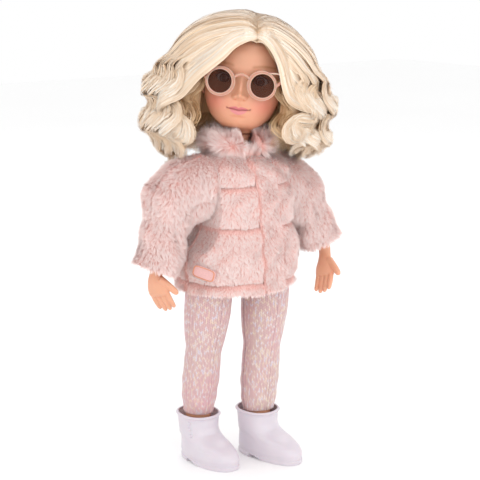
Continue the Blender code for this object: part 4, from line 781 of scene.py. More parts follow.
def iris_look():
    look = Look("iris", (0.14, 0.11, 0.09), 0.10, Coat_Weight=1.0)
    rays = look.noise(900, 4)
    jitter = look.math("MULTIPLY", look.math("SUBTRACT", rays, 0.5), 0.16)
    look.colour(look.ramp(look.math("ADD", look.value("radius"), jitter), IRIS_RINGS))
    look.rough(rays, 0.06, 0.12)
    return look.material


def cloth_look(name, colour, scale=1800):
    look = Look(name, colour, 0.85, Sheen_Weight=0.2)
    weave = look.noise(scale, 2)
    look.colour(look.ramp(weave, ((0.3, tuple(0.8 * c for c in colour)), (0.7, colour))))
    look.bump(weave, 0.0002, 0.6)
    return look.material


def ink_look(name, colour):
    look = Look(name, colour, 0.5)
    look.colour(look.ramp(look.noise(800, 2), ((0.3, colour), (0.8, tuple(1.6 * c for c in colour)))))
    look.rough(look.noise(500, 2), 0.4, 0.6)
    return look.material


SKIN_VINYL = vinyl_skin("skin_vinyl").material
FACE = face_look()
FUR = fur_look()
BACKING = fur_backing_look()
HAIR = hair_look()
UNDER_HAIR = under_hair_look()
KNIT_YARN = knit_look()
BOOT = boot_look()
FRAME_PLASTIC = frame_look()
LENS = lens_look()
EYE = eye_look()
IRIS = iris_look()
TAPE = cloth_look("fastening_tape", (0.80, 0.70, 0.70))
PATCH_CLOTH = cloth_look("patch_cloth", (0.84, 0.50, 0.48), 2500)
PATCH_BORDER = cloth_look("patch_border_thread", (0.80, 0.34, 0.20))
STITCH_CLOTH = cloth_look("white_thread", (0.92, 0.80, 0.78))
LASH = ink_look("lashes", (0.02, 0.015, 0.015))


# Head and face


def head_reach(angle, height, extra=0.0):
    share = height / HEAD_HEIGHT
    width = shaped(HEAD_SECTION_SHARES, share, 1) * HEAD_WIDTH / 2 + extra
    front = shaped(HEAD_SECTION_SHARES, share, 2) * HEAD_DEPTH + extra
    back = shaped(HEAD_SECTION_SHARES, share, 3) * HEAD_DEPTH + extra
    power = np.where(np.cos(angle) > 0, 2.45, 2.15)
    return oval_reach(angle, width, front, back, power)


def face_relief(x, height):
    """How far the face stands forward of the plain head there."""
    total = np.zeros_like(x)
    for across, up, wide, tall, forward in FACE_RELIEF_SHARES:
        total += (forward * HEAD_DEPTH * bell(np.abs(x) / HEAD_WIDTH, across, wide)
                  * bell(height / HEAD_HEIGHT, up, tall))
    mouth = mouth_height(x)
    half = MOUTH_WIDTH / 2
    across = smooth_step(half, half * 0.8, np.abs(x))
    total -= MOUTH_GROOVE * bell(height, mouth, 0.00055) * across
    _, lid = eye_distance(x, height)
    total += 0.0005 * bell(lid, 1.12, 0.10) - 0.00045 * bell(lid, 1.62, 0.14) * (height > EYE_HEIGHT)
    return total


def mouth_height(x):
    """The line between the lips: a dip under the nose's groove and slightly raised corners."""
    across = np.abs(x) / (MOUTH_WIDTH / 2)
    return MOUTH_HEIGHT + 0.0006 * across**2 - 0.0004 * bell(across, 0, 0.22) - 0.0001


def eye_distance(x, height):
    """Which side a point is on, and its distance from that eye's middle, 1 on the edge of the opening."""
    side = np.where(x < 0, -1, 1)
    across = (x - side * EYE_SPACING / 2) / (EYE_OPENING_WIDTH / 2)
    up = (height - EYE_HEIGHT) / (EYE_OPENING_HEIGHT / 2)
    up = up * np.where(up > 0, 1.0, LOWER_LID_SHARE) / (1 - LID_SQUEEZE * np.clip(across, -1, 1) ** 2)
    return side, np.sqrt(across**2 + up**2)


def lid_edge(side, turn):
    """Places across and up on the edge of an eye's opening."""
    squeeze = 1 - LID_SQUEEZE * np.cos(turn) ** 2
    low = np.where(np.sin(turn) > 0, 1, LOWER_LID_SHARE)
    x = side * EYE_SPACING / 2 + EYE_OPENING_WIDTH / 2 * np.cos(turn)
    return x, EYE_HEIGHT + EYE_OPENING_HEIGHT / 2 * np.sin(turn) * squeeze / low


def head_point(angle, height):
    """Points of the head's outside, the face's relief with it."""
    reach = head_reach(angle, height)
    points = round_about(angle, reach, height)
    points[..., 1] += HEAD_CENTRE_Y
    ahead = np.clip(np.cos(angle) * 2.5, 0, 1)
    points[..., 1] -= face_relief(points[..., 0], height) * ahead
    return points


def face_masks(points):
    """Painted areas of the face as point values: make-up, and painted shade round the nose, lids and chin.
    """
    x, z = np.abs(points[:, 0]), points[:, 2]
    ahead = points[:, 1] < -0.008
    mouth = mouth_height(x)
    half = MOUTH_WIDTH / 2
    lips = half * LIPS_SHARE
    across = np.clip(x / lips, 0, 1)
    bow = 1 - 0.24 * bell(across, 0, 0.14) + 0.14 * bell(across, 0.27, 0.18)
    upper = mouth + UPPER_LIP * bow * np.sqrt(np.clip(1 - across**1.8, 0, 1))
    lower = mouth - LOWER_LIP * np.sqrt(np.clip(1 - (across * 1.12) ** 2, 0, 1))
    inside = (x < lips) & ahead
    soft = 0.0003
    lip = smooth_step(-soft, soft, upper - z) * (z >= mouth) * inside
    lip_low = smooth_step(-soft, soft, z - lower) * (z < mouth) * inside
    line = bell(z, mouth, 0.00030 + 0.00006 * (across < 1)) * smooth_step(1.0, 0.93, x / half)
    corner = bell(x, half * 0.97, 0.00055) * bell(z, mouth + 0.0003, 0.00055)
    line = np.clip(line + corner, 0, 1) * ahead
    _, lid = eye_distance(points[:, 0], z)
    upper_lid = smooth_step(1.22, 1.10, lid) * (z > EYE_HEIGHT - 0.0004) * ahead
    # Painted shade in the crease over each upper lid
    crease = 0.45 * bell(lid, 1.55, 0.12) * (z > EYE_HEIGHT + 0.001) * ahead
    along = (x - BROW_START) / BROW_LENGTH
    inner = np.clip(along, 0, 1)
    brow_line = BROW_HEIGHT + BROW_ARCH * np.sin(inner * 2.4) - 0.0012 * inner
    hairs = 0.75 + 0.25 * np.sin(((x - EYE_SPACING / 2) * 0.7 + z * 0.5) * 9000)
    brow = bell(z, brow_line, BROW_THICKNESS * (1 - 0.55 * inner)) * hairs * ahead
    brow = brow * smooth_step(-0.08, 0.08, along) * smooth_step(1.05, 0.85, along)
    blush = 0.85 * bell(x, BLUSH_X, 0.0095) * bell(z, BLUSH_HEIGHT, 0.0080) * ahead
    nostril = bell(x, NOSTRIL_X, 0.0010) * bell(z, NOSTRIL_HEIGHT, 0.00055)
    wing = np.hypot(x - NOSE_WING_X, z - NOSE_WING_HEIGHT) / NOSE_WING_RADIUS
    wing = bell(wing, 1, 0.16) * smooth_step(-0.0006, 0.0010, x - NOSE_WING_X - 0.0002)
    wing = wing * smooth_step(NOSE_WING_HEIGHT + 0.0028, NOSE_WING_HEIGHT + 0.0003, z)
    under_nose = bell(z, NOSTRIL_HEIGHT - 0.0004, 0.0006) * smooth_step(0.0045, 0.0020, x)
    dimple = bell(z, CHIN_DIMPLE_HEIGHT, 0.0009) * smooth_step(0.0075, 0.003, x)
    # Painted shade: in the nostrils, under the nose's tip and wings and in the chin's dimple; the whole
    # lower face is darker towards the chin, as shade under a light from above
    shade = 0.95 * nostril + 0.50 * wing + 0.30 * under_nose + 0.40 * dimple
    shade = shade + 0.34 * smooth_step(0.030, 0.006, z)
    shade = np.clip(shade + crease, 0, 1) * ahead
    return {"shade": shade, "blush": blush, "lip": lip, "lip_low": lip_low, "lip_line": 0.9 * line,
            "brow": 0.8 * brow, "lid": upper_lid}


def on_head(x, height, turned, rounds):
    """How far forward the head's skin is at places across and up, found from a first guess of the angle."""
    for _ in range(rounds):
        spot = head_point(turned, height)
        turned = turned + (x - spot[..., 0]) / np.maximum(-(spot[..., 1] - HEAD_CENTRE_Y), 0.01)
    return head_point(turned, height)[..., 1]


def lid_form(side):
    """The edge of an eye's opening, turned in behind the face."""
    turn = full_turn(72)
    x, z = lid_edge(side, turn)
    front = on_head(x, z, np.arctan2(x, EYE_DEPTH + 0.01), 4)
    rings = [np.stack([x, front + d, z], -1) for d in (-0.00012, 0.0004, LID_DEPTH, 2 * LID_DEPTH)]
    return lofted(rings, False)


def build_head():
    rows, columns = 230, 320
    t = 0.5 - 0.5 * np.cos(math.pi * (0.04 + 0.955 * np.arange(rows) / (rows - 1)))
    even = full_turn(columns)
    height, turn = rows_by_columns(HEAD_HEIGHT * t, even - 0.62 * np.sin(even))
    quads = grid_quads(rows, columns)
    flat = head_point(turn, height).reshape(-1, 3)
    _, lid = eye_distance(flat[:, 0], flat[:, 2])
    inside = (lid < 1) & (flat[:, 1] < -0.012)
    quads = quads[~inside[quads].all(1)]
    edge = np.unique(quads[inside[quads].any(1)])
    edge = edge[inside[edge]]
    side = np.where(flat[edge, 0] < 0, -1, 1)
    centre = np.stack([side * EYE_SPACING / 2, np.full(len(edge), EYE_HEIGHT)], -1)
    offset = flat[edge][:, [0, 2]] - centre
    flat[edge, 0] = centre[:, 0] + offset[:, 0] / lid[edge]
    flat[edge, 2] = centre[:, 1] + offset[:, 1] / lid[edge]
    rim = flat[edge]
    guess = np.arctan2(rim[:, 0], -(rim[:, 1] - HEAD_CENTRE_Y))
    flat[edge, 1] = on_head(rim[:, 0], rim[:, 2], guess, 4)
    foot = flat[:columns]
    parts = [(flat, quads, NO_TRIANGLES), lofted(np.stack([foot * np.array([0.6, 0.6, 1.0]), foot]), False)]
    for _, side in SIDES:
        parts += [lid_form(side), ear_form(side)]
    points, quads, triangles = joined(parts)
    mesh = facing_out(new_mesh("head", points, quads, triangles, face_masks(points)))
    place("head", mesh, HEAD_FRAME, "head", FACE, ["head_shell"])


def ear_form(side):
    """An ear with a rolled rim and a hollow."""
    rows, columns = 28, 40
    u, v = rows_by_columns(np.linspace(0, math.pi, rows), full_turn(columns))
    across = np.cos(u)
    round_way = np.stack([across * 0.16, np.sin(u) * np.cos(v) * 0.34, np.sin(u) * np.sin(v) * 0.5], -1)
    hollow = bell(np.sin(u), 0, 0.55) * (across > 0)
    round_way[..., 0] -= 0.14 * hollow
    points = round_way * EAR_LENGTH
    points[..., 1] += points[..., 2] * 0.25
    points[..., 0] = side * (points[..., 0] + HEAD_WIDTH * 0.495)
    points[..., 1] += HEAD_DEPTH * 0.06
    points[..., 2] += HEAD_HEIGHT * 0.415
    return lofted(points)


def at_eye(points, side, drop=0.0):
    """Points from an eye's middle, moved to where the eye is in the head."""
    points[..., 0] += side * EYE_SPACING / 2
    points[..., 1] -= EYE_DEPTH
    points[..., 2] += EYE_HEIGHT - drop
    return points


def build_eyes():
    columns = 64
    for word, side in SIDES:
        u, v = rows_by_columns(np.linspace(0.02, math.pi - 0.02, 40), full_turn(columns))
        ball = EYE_RADIUS * np.stack([np.sin(u) * np.cos(v), -np.cos(u), np.sin(u) * np.sin(v)], -1)
        mesh = new_mesh("eye_" + word, *lofted(at_eye(ball, side)))
        place("eyeball_" + word, mesh, HEAD_FRAME, "head", EYE, ["eye_" + word])
        radius, turn = rows_by_columns(np.linspace(0.02, 1, 16) * IRIS_RADIUS, full_turn(columns))
        bulge = 0.0005 * (1 - (radius / IRIS_RADIUS) ** 2)
        front = -np.sqrt(EYE_RADIUS**2 - radius**2) - bulge - 0.00003
        dome = np.stack([radius * np.cos(turn), front, radius * np.sin(turn)], -1)
        p, q, t = lofted(at_eye(dome, side, 0.0002))
        values = np.concatenate([(radius / IRIS_RADIUS).ravel(), [0, 1]])
        mesh = new_mesh("iris_dome_" + word, p, q, t[:columns], {"radius": values})
        place("iris_dome_" + word, mesh, HEAD_FRAME, "head", IRIS, ["iris_" + word])
        build_lashes(word, side)


def build_lashes(word, side):
    """A fringe of lashes on the upper lid."""
    t = np.linspace(0.06, 0.94, LASH_COUNT)
    turn = math.pi * (1 - t) if side > 0 else math.pi * t
    x, z = lid_edge(side, turn)
    parts = []
    for i in range(LASH_COUNT):
        root = np.array([x[i], LASH_ROOT_Y, z[i]])
        out = np.array([np.cos(turn[i]) * 0.55, -0.75, 0.55 + 0.2 * np.sin(turn[i])])
        tip = root + unit(out) * (LASH_LENGTH + 0.0012 * t[i])
        middle = (root + tip) / 2 - np.array([0, 0, 0.0003])
        parts.append(round_bar([root, middle, tip], [0.00013, 0.0001, 0.00002], 6, 5))
    mesh = new_mesh("lashes_" + word, *joined(parts))
    place("lashes_" + word, mesh, HEAD_FRAME, "head", LASH)


# Sunglasses


def rim_reach(angle):
    """Outer radius of a lens rim, angle 0 outward: it is a little broader towards the nose."""
    return LENS_RADIUS + RIM_WIDTH * (0.92 - 0.14 * np.cos(angle))


def rim_form(side, front, back, middle_z):
    """The ring round a lens, with a fine groove in front, and the painted highlight on its edges."""
    section = full_turn(RIM_COLUMNS)
    squarer = [np.sign(way) * np.abs(way) ** 0.55 for way in (np.cos(section), np.sin(section))]
    a, k = rows_by_columns(full_turn(RIM_STEPS), np.arange(RIM_COLUMNS))
    across, deep = squarer[0][k], squarer[1][k]
    outer = rim_reach(a)
    reach = (LENS_RADIUS + outer) / 2 + across * (outer - LENS_RADIUS) / 2
    groove = 0.00030 * bell(reach - LENS_RADIUS, 0.0010, 0.00030) * (deep < -0.3)
    # Painted highlights along the rim's inner and outer edges
    edge = bell(reach - LENS_RADIUS, 0.0003, 0.00035) + bell(outer - reach, 0.0002, 0.00030)
    points, quads, triangles = lofted(np.stack([
        side * (LENS_SPACING / 2 + reach * np.cos(a)),
        (front + back) / 2 + deep * FRAME_THICKNESS / 2 + groove,
        middle_z + reach * np.sin(a),
    ], -1), False)
    here = np.arange(RIM_COLUMNS)
    after = (here + 1) % RIM_COLUMNS
    last = (RIM_STEPS - 1) * RIM_COLUMNS
    closing = np.stack([last + here, last + after, after, here], -1)
    return (points, np.concatenate([quads, closing]), triangles), np.clip(edge, 0, 1).ravel() * 0.8


def frame_bars(side, front, back, middle_z):
    """The bar over a rim, the block at its outer end and the side arm, and how much painted highlight each
    gets.
    """
    rim = LENS_RADIUS + RIM_WIDTH * 0.45
    centre = np.array([LENS_SPACING / 2, (front + back) / 2, middle_z])
    top_bar = [(rim * math.cos(1.25), 0, rim * math.sin(1.25)), (END_REACH * 0.62, 0, END_RISE * 1.06),
               (END_REACH, 0.0003, END_RISE)]
    end_block = [(END_REACH, 0.0003, END_RISE), (END_REACH - 0.0008, 0.0003, END_RISE * 0.55),
                 (rim * math.cos(0.05), 0, rim * math.sin(0.05))]
    bars = [(round_bar(mirrored(np.array(places) + centre, side), radii, 24, 14), bright)
            for places, radii, bright in ((top_bar, (0.0009, 0.0007, 0.0010), 0.85),
                                          (end_block, (0.0010, 0.0012, 0.0012), 0.25))]
    hinge_x = LENS_SPACING / 2 + END_REACH - SIDE_ARM_THICKNESS
    hinge_y = back - FRAME_THICKNESS / 2
    hinge_z = middle_z + END_RISE * 0.58
    wide = HEAD_WIDTH / 2 + SKIN_GAP + SIDE_ARM_THICKNESS / 2
    stations = ((0.0, hinge_x, 0), (0.35, (hinge_x + wide) / 2 + SKIN_GAP, 0), (0.72, wide, 0),
                (0.86, wide, -0.1), (1.0, wide, -0.6))
    places = [(side * x, hinge_y + SIDE_ARM_LENGTH * share, hinge_z + drop * SIDE_ARM_HEIGHT)
              for share, x, drop in stations]
    radii = [SIDE_ARM_THICKNESS / 2 * k for k in (1, 1, 1, 1, 0.8)]
    flat = SIDE_ARM_HEIGHT / SIDE_ARM_THICKNESS
    return bars + [(round_bar(places, radii, 40, 20, flat, (side, 0, 0)), 0.1)]


def lens_form(side, back, middle_z):
    """A thin lens, bowed a little to the front, with its edge in the rim."""
    turn = full_turn(96)
    near = back - LENS_THICKNESS - SKIN_GAP / 2
    rings = []
    for share, bow in ((0.3, 0.00032), (0.7, 0.00016), (1.0, 0.0), (1.0, -LENS_THICKNESS)):
        r = (LENS_RADIUS + LENS_SEAT) * share
        rings.append(np.stack([side * (LENS_SPACING / 2 + r * np.cos(turn)), np.full(96, near - bow),
                               middle_z + r * np.sin(turn)], -1))
    return lofted(rings)


def build_sunglasses():
    front, back = -FRAME_FORWARD, -FRAME_FORWARD + FRAME_THICKNESS
    middle_z = EYE_HEIGHT - LENS_DROP
    forms = []
    for word, side in SIDES:
        forms += [rim_form(side, front, back, middle_z), *frame_bars(side, front, back, middle_z)]
        mesh = facing_out(new_mesh("lens_glass_" + word, *lens_form(side, back, middle_z)))
        place("lens_glass_" + word, mesh, HEAD_FRAME, "sunglasses", LENS, ["lens_" + word])
    t = np.linspace(-1, 1, 7)
    bridge_x = t * (LENS_SPACING / 2 - LENS_RADIUS - RIM_WIDTH / 2)
    bridge_z = middle_z + RIM_WIDTH * (2.5 - 1.0 * t * t)
    places = np.stack([bridge_x, np.full(7, (front + back) / 2), bridge_z], -1)
    forms.append((round_bar(places, [RIM_WIDTH * 0.42] * 7, 24, 16), 0.3))
    # Painted highlight of every point of the frame, read by its material
    bright = np.concatenate([np.broadcast_to(edge, len(form[0])) for form, edge in forms])
    mesh = facing_out(new_mesh("sunglasses_rims", *joined([form for form, _ in forms]), {"bright": bright}))
    place("sunglasses_rims", mesh, HEAD_FRAME, "sunglasses", FRAME_PLASTIC,
          ["sunglasses_frame"])


# Neck, arms and legs


def build_neck():
    """The neck that shows in the collar's opening."""
    profile = ((0.004, -0.0005), (NECK_RADIUS * 0.92, -0.0004), (NECK_RADIUS * 0.97, -0.002),
               (NECK_RADIUS * 0.96, -0.010), (NECK_RADIUS, -0.020), (NECK_RADIUS, -NECK_LENGTH + 0.001))
    mesh = new_mesh("throat", *lofted([round_about(full_turn(64), r, z) for r, z in profile]))
    place("throat", mesh, NECK_FRAME, "torso", SKIN_VINYL)


def arm_points():
    """Shoulder, cuff, elbow and wrist of a left arm, from its joint."""
    shoulder = np.array([SHOULDER_SPACING / 2 + ARM_RADIUS * 0.8, 0, 0])
    cuff = np.array([shoulder[0] + ARM_REACH_OUT, -0.08 * ARM_REACH_OUT, -ARM_DROP])
    elbow = shoulder + (cuff - shoulder) * ELBOW_SHARE
    wrist = elbow + unit(np.array([0.34, -0.08, -0.93])) * FOREARM_LENGTH
    return shoulder, cuff, elbow, wrist


def sleeve_shift(side, share):
    """How far the sleeve and the arm in it are pushed out and back at a share of the arm's reach."""
    most = np.array([SLEEVE_OUT[side], SLEEVE_BACK[side], SLEEVE_OUT[side] * 0.3])
    return most * smooth_step(0.02, 0.22, share) * (1 - 0.9 * smooth_step(0.35, 0.95, share))


def remeshed(name, parts, voxel, smoothing):
    """Overlapping closed forms merged into one smooth skin."""
    mesh = new_mesh(name, *joined(parts))
    maker = bpy.data.objects.new(name, mesh)
    bpy.context.scene.collection.objects.link(maker)
    merge = maker.modifiers.new("merge", "REMESH")
    merge.mode = "VOXEL"
    merge.voxel_size = voxel
    soft = maker.modifiers.new("soft", "SMOOTH")
    soft.factor = 0.5
    soft.iterations = smoothing
    bpy.context.view_layer.update()
    shown = maker.evaluated_get(bpy.context.evaluated_depsgraph_get())
    final = bpy.data.meshes.new_from_object(shown)
    bpy.data.objects.remove(maker)
    final.shade_smooth()
    return final


def finger_forms(side, wrist, way, thick, broad):
    """The fingers and the thumb of a hand. way is along the hand, thick out of its back, broad across."""
    forms = []
    for i, length_share in enumerate(FINGER_LENGTH_SHARES):
        knuckle = wrist + way * PALM_LENGTH * 0.72 + broad * (1.5 - i) * PALM_WIDTH * 0.245
        bend = unit(way - thick * 0.10)
        length = FINGER_LENGTH * length_share + PALM_LENGTH * 0.28
        t = np.array([0, 0.25, 0.5, 0.72, 0.88, 0.97, 1.0])[:, None]
        places = knuckle + bend * length * t - thick * FINGER_RADIUS * 1.5 * t * t
        radii = FINGER_RADIUS * np.array([1.05, 1.0, 1.02, 0.95, 0.86, 0.6, 0.25])
        forms.append(round_bar(mirrored(places, side), radii, 30, 14))
    root = wrist + way * PALM_LENGTH * 0.30 + broad * PALM_WIDTH * 0.24
    thumb_way = unit(way + broad * 0.95 - thick * 0.15)
    t = np.array([0, 0.3, 0.6, 0.85, 0.96, 1.0])[:, None]
    places = root + thumb_way * THUMB_LENGTH * 1.05 * t + way * THUMB_LENGTH * 0.2 * t * t
    radii = FINGER_RADIUS * 1.25 * np.array([1.35, 1.15, 1.05, 0.92, 0.62, 0.25])
    return forms + [round_bar(mirrored(places, side), radii, 30, 14)]


def build_arm(word, side):
    """An arm from its shoulder to the fingers. Its rings turn from level at the joint to square with it."""
    shoulder, cuff, elbow, wrist = arm_points()
    upper, lower = unit(cuff - shoulder), unit(wrist - elbow)
    stations = []
    for t, share in UPPER_ARM_SHARES:
        turned = min(1, 0.35 + t * 2.2)
        spot = shoulder + (elbow - shoulder) * t + sleeve_shift(side, t * ELBOW_SHARE)
        along = np.array([1, 0, 0]) * (1 - turned) + upper * turned
        stations.append((spot, share * UPPER_ARM_SLIMNESS, along))
    stations[-1] = (*stations[-1][:2], upper + lower)
    stations += [(elbow + (wrist - elbow) * t, share, lower) for t, share in FOREARM_SHARES]
    a = full_turn(ARM_COLUMNS)[:, None]
    forward = np.array([0, 1, 0])
    rings = []
    for spot, share, along in stations:
        up = unit(np.cross(unit(along), forward))
        radius = share * ARM_RADIUS
        rings.append(spot + forward * radius * np.sin(a) + up * radius * np.cos(a))
    way = unit(np.array([-0.26, -0.20, -0.94]))
    wrist = wrist + way * HAND_DROP[side] + np.array([HAND_OUT[side], 0, 0])
    thick = np.array([math.cos(HAND_TURN[side]), math.sin(HAND_TURN[side]), 0])
    thick = unit(thick - way * thick.dot(way))
    broad = np.cross(way, thick)
    for share, wide, deep in PALM_SHARES:
        spot = wrist + way * PALM_LENGTH * share
        rings.append(spot - broad * PALM_WIDTH / 2 * wide * np.sin(a)
                     + thick * PALM_THICKNESS / 2 * deep * np.cos(a))
    rings = np.array(rings)
    steps = np.linspace(0, len(rings) - 1, 90)
    index = np.arange(len(rings))
    fine = np.stack([[shaped(np.stack([index, rings[:, j, c]], -1), steps) for c in range(3)]
                     for j in range(ARM_COLUMNS)], 0).transpose(2, 0, 1)
    parts = [lofted(mirrored(fine, side)), *finger_forms(side, wrist, way, thick, broad)]
    mesh = remeshed("arm_skin_" + word, parts, 0.00042, 6)
    place("arm_skin_" + word, mesh, ARM_FRAME[word], "arm_" + word, SKIN_VINYL,
          ["arm_" + word])


def leg_centre(height):
    """Where a left leg's middle is at a height above the floor, from the hip joint, and its radius."""
    share = height / HIP_HEIGHT
    lean = shaped(LEG_SECTION_SHARES, share, 2) * LEG_LEAN_BACK
    spread = np.clip((share - 0.25) / 0.75, 0, 1)
    x = (ANKLE_SPACING + (HIP_SPACING - ANKLE_SPACING) * spread) / 2
    radius = shaped(LEG_SECTION_SHARES, share, 1) * THIGH_RADIUS
    return x, lean, height - HIP_HEIGHT, radius


def knit_height(across, up):
    """Relief, valley and glint of V shaped stitches, from places across and up the cloth."""
    column = across / STITCH_WIDTH
    fold = np.abs(column - np.floor(column) - 0.5) * 2
    row = up / STITCH_HEIGHT + fold * 0.9
    leg = np.abs(np.sin(math.pi * row)) ** 0.7
    rib = np.sin(math.pi * np.clip(fold, 0, 1)) ** 0.5
    relief = 0.0004 * rib * (0.35 + 0.65 * leg)
    # valley: how deep a place lies between the stitches; the knit material paints it as shade
    valley = 1 - rib * (0.35 + 0.65 * leg)
    # glint: a random value per stitch, for its foil colour and painted glint
    key = np.sin(np.floor(row) * 12.9898 + np.floor(column * 2) * 78.233) * 43758.5453
    return relief, valley, key - np.floor(key)


def build_leggings_leg(word, side):
    """One leg of the leggings, with its seam, its folds at the ankle and a thin turned hem."""
    z, turn = rows_by_columns(np.linspace(LEGGINGS_HEM, HIP_HEIGHT + LEGGINGS_RISE, 400), full_turn(250))
    x, lean, up, radius = leg_centre(z)
    dome = np.sqrt(np.clip(THIGH_RADIUS**2 - (z - HIP_HEIGHT) ** 2, 0, None))
    radius = np.where(z > HIP_HEIGHT, dome, radius)
    stitches = round(2 * math.pi * THIGH_RADIUS / STITCH_WIDTH)
    relief, valley, glint = knit_height(turn / (2 * math.pi) * stitches * STITCH_WIDTH, z)
    seam = bell(np.mod(turn + math.radians(100) + math.pi, 2 * math.pi) - math.pi, 0, 0.05)
    wrinkle = 0.0003 * np.sin(z * 420 + 1.3 * np.sin(turn * 2 + 1)) * smooth_step(0.085, 0.058, z)
    wrinkle += 0.00025 * np.sin(z * 260 + 2 * np.cos(turn)) * bell(z, 0.092, 0.012)
    wrinkle += LEFT_LEG_SPREAD * np.clip(np.sin(turn), 0, None) * (side > 0)
    fuller = 0.0007 + 0.0010 * smooth_step(0.075, 0.115, z)
    reach = radius + SKIN_GAP + fuller + relief + wrinkle - 0.0003 * seam
    points = np.stack([side * (x + reach * np.sin(turn)), lean - reach * np.cos(turn), up], -1)
    turned_in = radius[:1] + 0.0002
    hem = np.stack([side * (x[:1] + turned_in * np.sin(turn[:1])), lean[:1] - turned_in * np.cos(turn[:1]),
                    up[:1]], -1)
    # The seam is darkened with the painted shade of the valleys
    valley = np.clip(valley + 0.6 * seam, 0, 1)
    values = {"valley": np.concatenate([valley[:1], valley]), "glint": np.concatenate([glint[:1], glint])}
    points, quads, _ = lofted(np.concatenate([hem, points]), False)
    if side < 0:
        quads = quads[:, ::-1]
    mesh = new_mesh("leggings_" + word, points, quads, None, values)
    place("leggings_" + word, mesh, LEG_FRAME[word], "leg_" + word, KNIT_YARN,
          ["leggings_leg_" + word])


def build_leggings():
    for word, side in SIDES:
        build_leggings_leg(word, side)
    share, turn = rows_by_columns(np.linspace(0, 0.26, 60), full_turn(420))
    width = shaped(TORSO_SECTION_SHARES, share, 1) * CHEST_WIDTH / 2 + SKIN_GAP
    depth = shaped(TORSO_SECTION_SHARES, share, 2) * CHEST_DEPTH / 2 + SKIN_GAP
    z = TORSO_BOTTOM + share * (TORSO_TOP - TORSO_BOTTOM)
    relief, valley, glint = knit_height(turn / (2 * math.pi) * WAIST_STITCHES * STITCH_WIDTH, z)
    reach = oval_reach(turn, width, depth, depth, 2.3) + relief
    points, quads, _ = lofted(round_about(turn, reach, z), False)
    mesh = new_mesh("leggings_waist", points, quads, None, {"valley": valley, "glint": glint})
    place("leggings_waist", mesh, BODY_FRAME, "torso", KNIT_YARN, ["leggings_seat"])


# Boots


def boot_ring(share, turn, inset=0.0):
    """A level outline of a boot at a height share, from its toe forward of the ankle to its heel."""
    toe = shaped(BOOT_SECTION_SHARES, share, 1)
    heel = shaped(BOOT_SECTION_SHARES, share, 2)
    half = shaped(BOOT_SECTION_SHARES, share, 3)
    ahead, behind = toe * BOOT_LENGTH - inset, heel * BOOT_LENGTH - inset
    middle, reach = (behind - ahead) / 2, (behind + ahead) / 2
    far = oval_reach(turn, half * BOOT_WIDTH - inset, reach, reach, 2.35)
    x, y = far * np.sin(turn), -far * np.cos(turn)
    along = y / reach
    x = x * (1 - 0.13 * np.clip(along, 0, None) * smooth_step(0.30, 0.45, toe))
    x = x - BOOT_WIDTH * 0.16 * np.clip(-along, 0, None) ** 2 * (toe - 0.27)
    return x, y + middle


def rim_rise(share, turn):
    """How much higher a boot is at its heel's side than in front, up to its rim."""
    return BOOT_RIM_RISE * smooth_step(0.5, 1, share) * (1 - np.cos(turn)) / 2


def boot_button(share):
    """A moulded button on a boot's outer side at a height share."""
    x, y = boot_ring(share, np.array([math.radians(64)]))
    u, v = rows_by_columns(np.linspace(0.05, math.pi - 0.05, 14), full_turn(24))
    knob = np.stack([np.cos(u) * 0.75, np.sin(u) * np.cos(v), np.sin(u) * np.sin(v)], -1) * BUTTON_RADIUS
    return lofted(knob + np.array([float(x[0]) + 0.0001, float(y[0]), share * BOOT_HEIGHT]))


def build_boot(word, side):
    """A moulded boot, hollow from its rim down, with a bead, a crease over the toes and an arched sole."""
    level = Quaternion((1, 0, 0), LEG_SWING[word])
    rim_x, rim_lean, rim_up, _ = leg_centre(np.array(BOOT_HEIGHT))
    ankle = level.inverted() @ Vector((0, float(rim_lean), float(rim_up)))
    turn = full_turn(128)
    ahead = np.cos(turn)
    rings = []
    for share in np.concatenate([np.linspace(0, 0.1, 24), np.linspace(0.105, 0.93, 110),
                                 np.linspace(0.935, 1, 22)]):
        x, y = boot_ring(share, turn)
        toe_crease = 0.00035 * bell(share, 0.36, 0.022) * bell(ahead, 0.85, 0.35) * (ahead > 0)
        proud = (0.0007 * bell(share, 0.968, 0.016) - toe_crease)[:, None] * unit(np.stack([x, y], -1))
        rings.append(np.stack([x + proud[:, 0], y + proud[:, 1],
                               share * BOOT_HEIGHT + rim_rise(share, turn)], -1))
    for share in (1.0, 0.985, 0.93, 0.86, 0.76, 0.6):
        x, y = boot_ring(share, turn, BOOT_WALL)
        drop = 0.0003 if share == 1.0 else 0
        rings.append(np.stack([x, y, share * BOOT_HEIGHT + rim_rise(share, turn) - drop], -1))
    points = np.array(rings)
    sole_top = BOOT_HEIGHT * 0.09
    heel_front = BOOT_LENGTH * 0.278 - BOOT_HEEL_LENGTH
    arch = smooth_step(heel_front, heel_front - 0.0012, points[..., 1])
    arch = arch * smooth_step(-0.020, 0.0, points[..., 1])
    lift = BOOT_ARCH * arch * (1 - points[..., 2] / sole_top)
    points[..., 2] += np.where(points[..., 2] < sole_top, np.clip(lift, 0, None), 0)
    parts = [lofted(points)]
    if side < 0:
        parts += [boot_button(share) for share in BUTTON_HEIGHT_SHARES]
    points, quads, triangles = joined(parts)
    c, s = math.cos(BOOT_TURN[side]), side * math.sin(BOOT_TURN[side])
    x, y, z = points.T
    points = np.stack([c * x - s * y, s * x + c * y, z], -1)
    points = points + np.array([float(rim_x), ankle.y, -HIP_HEIGHT])
    points = points @ np.array(level.to_matrix()).T
    mesh = facing_out(new_mesh("boot_" + word, mirrored(points, side), quads, triangles))
    place("boot_shell_" + word, mesh, LEG_FRAME[word], "leg_" + word, BOOT, ["boot_" + word])


# Fur pile


def clump_of(roots, centres):
    """The nearest clump centre of each root."""
    tree = KDTree(len(centres))
    for i, centre in enumerate(centres):
        tree.insert(centre, i)
    tree.balance()
    return np.array([tree.find(root)[1] for root in roots])


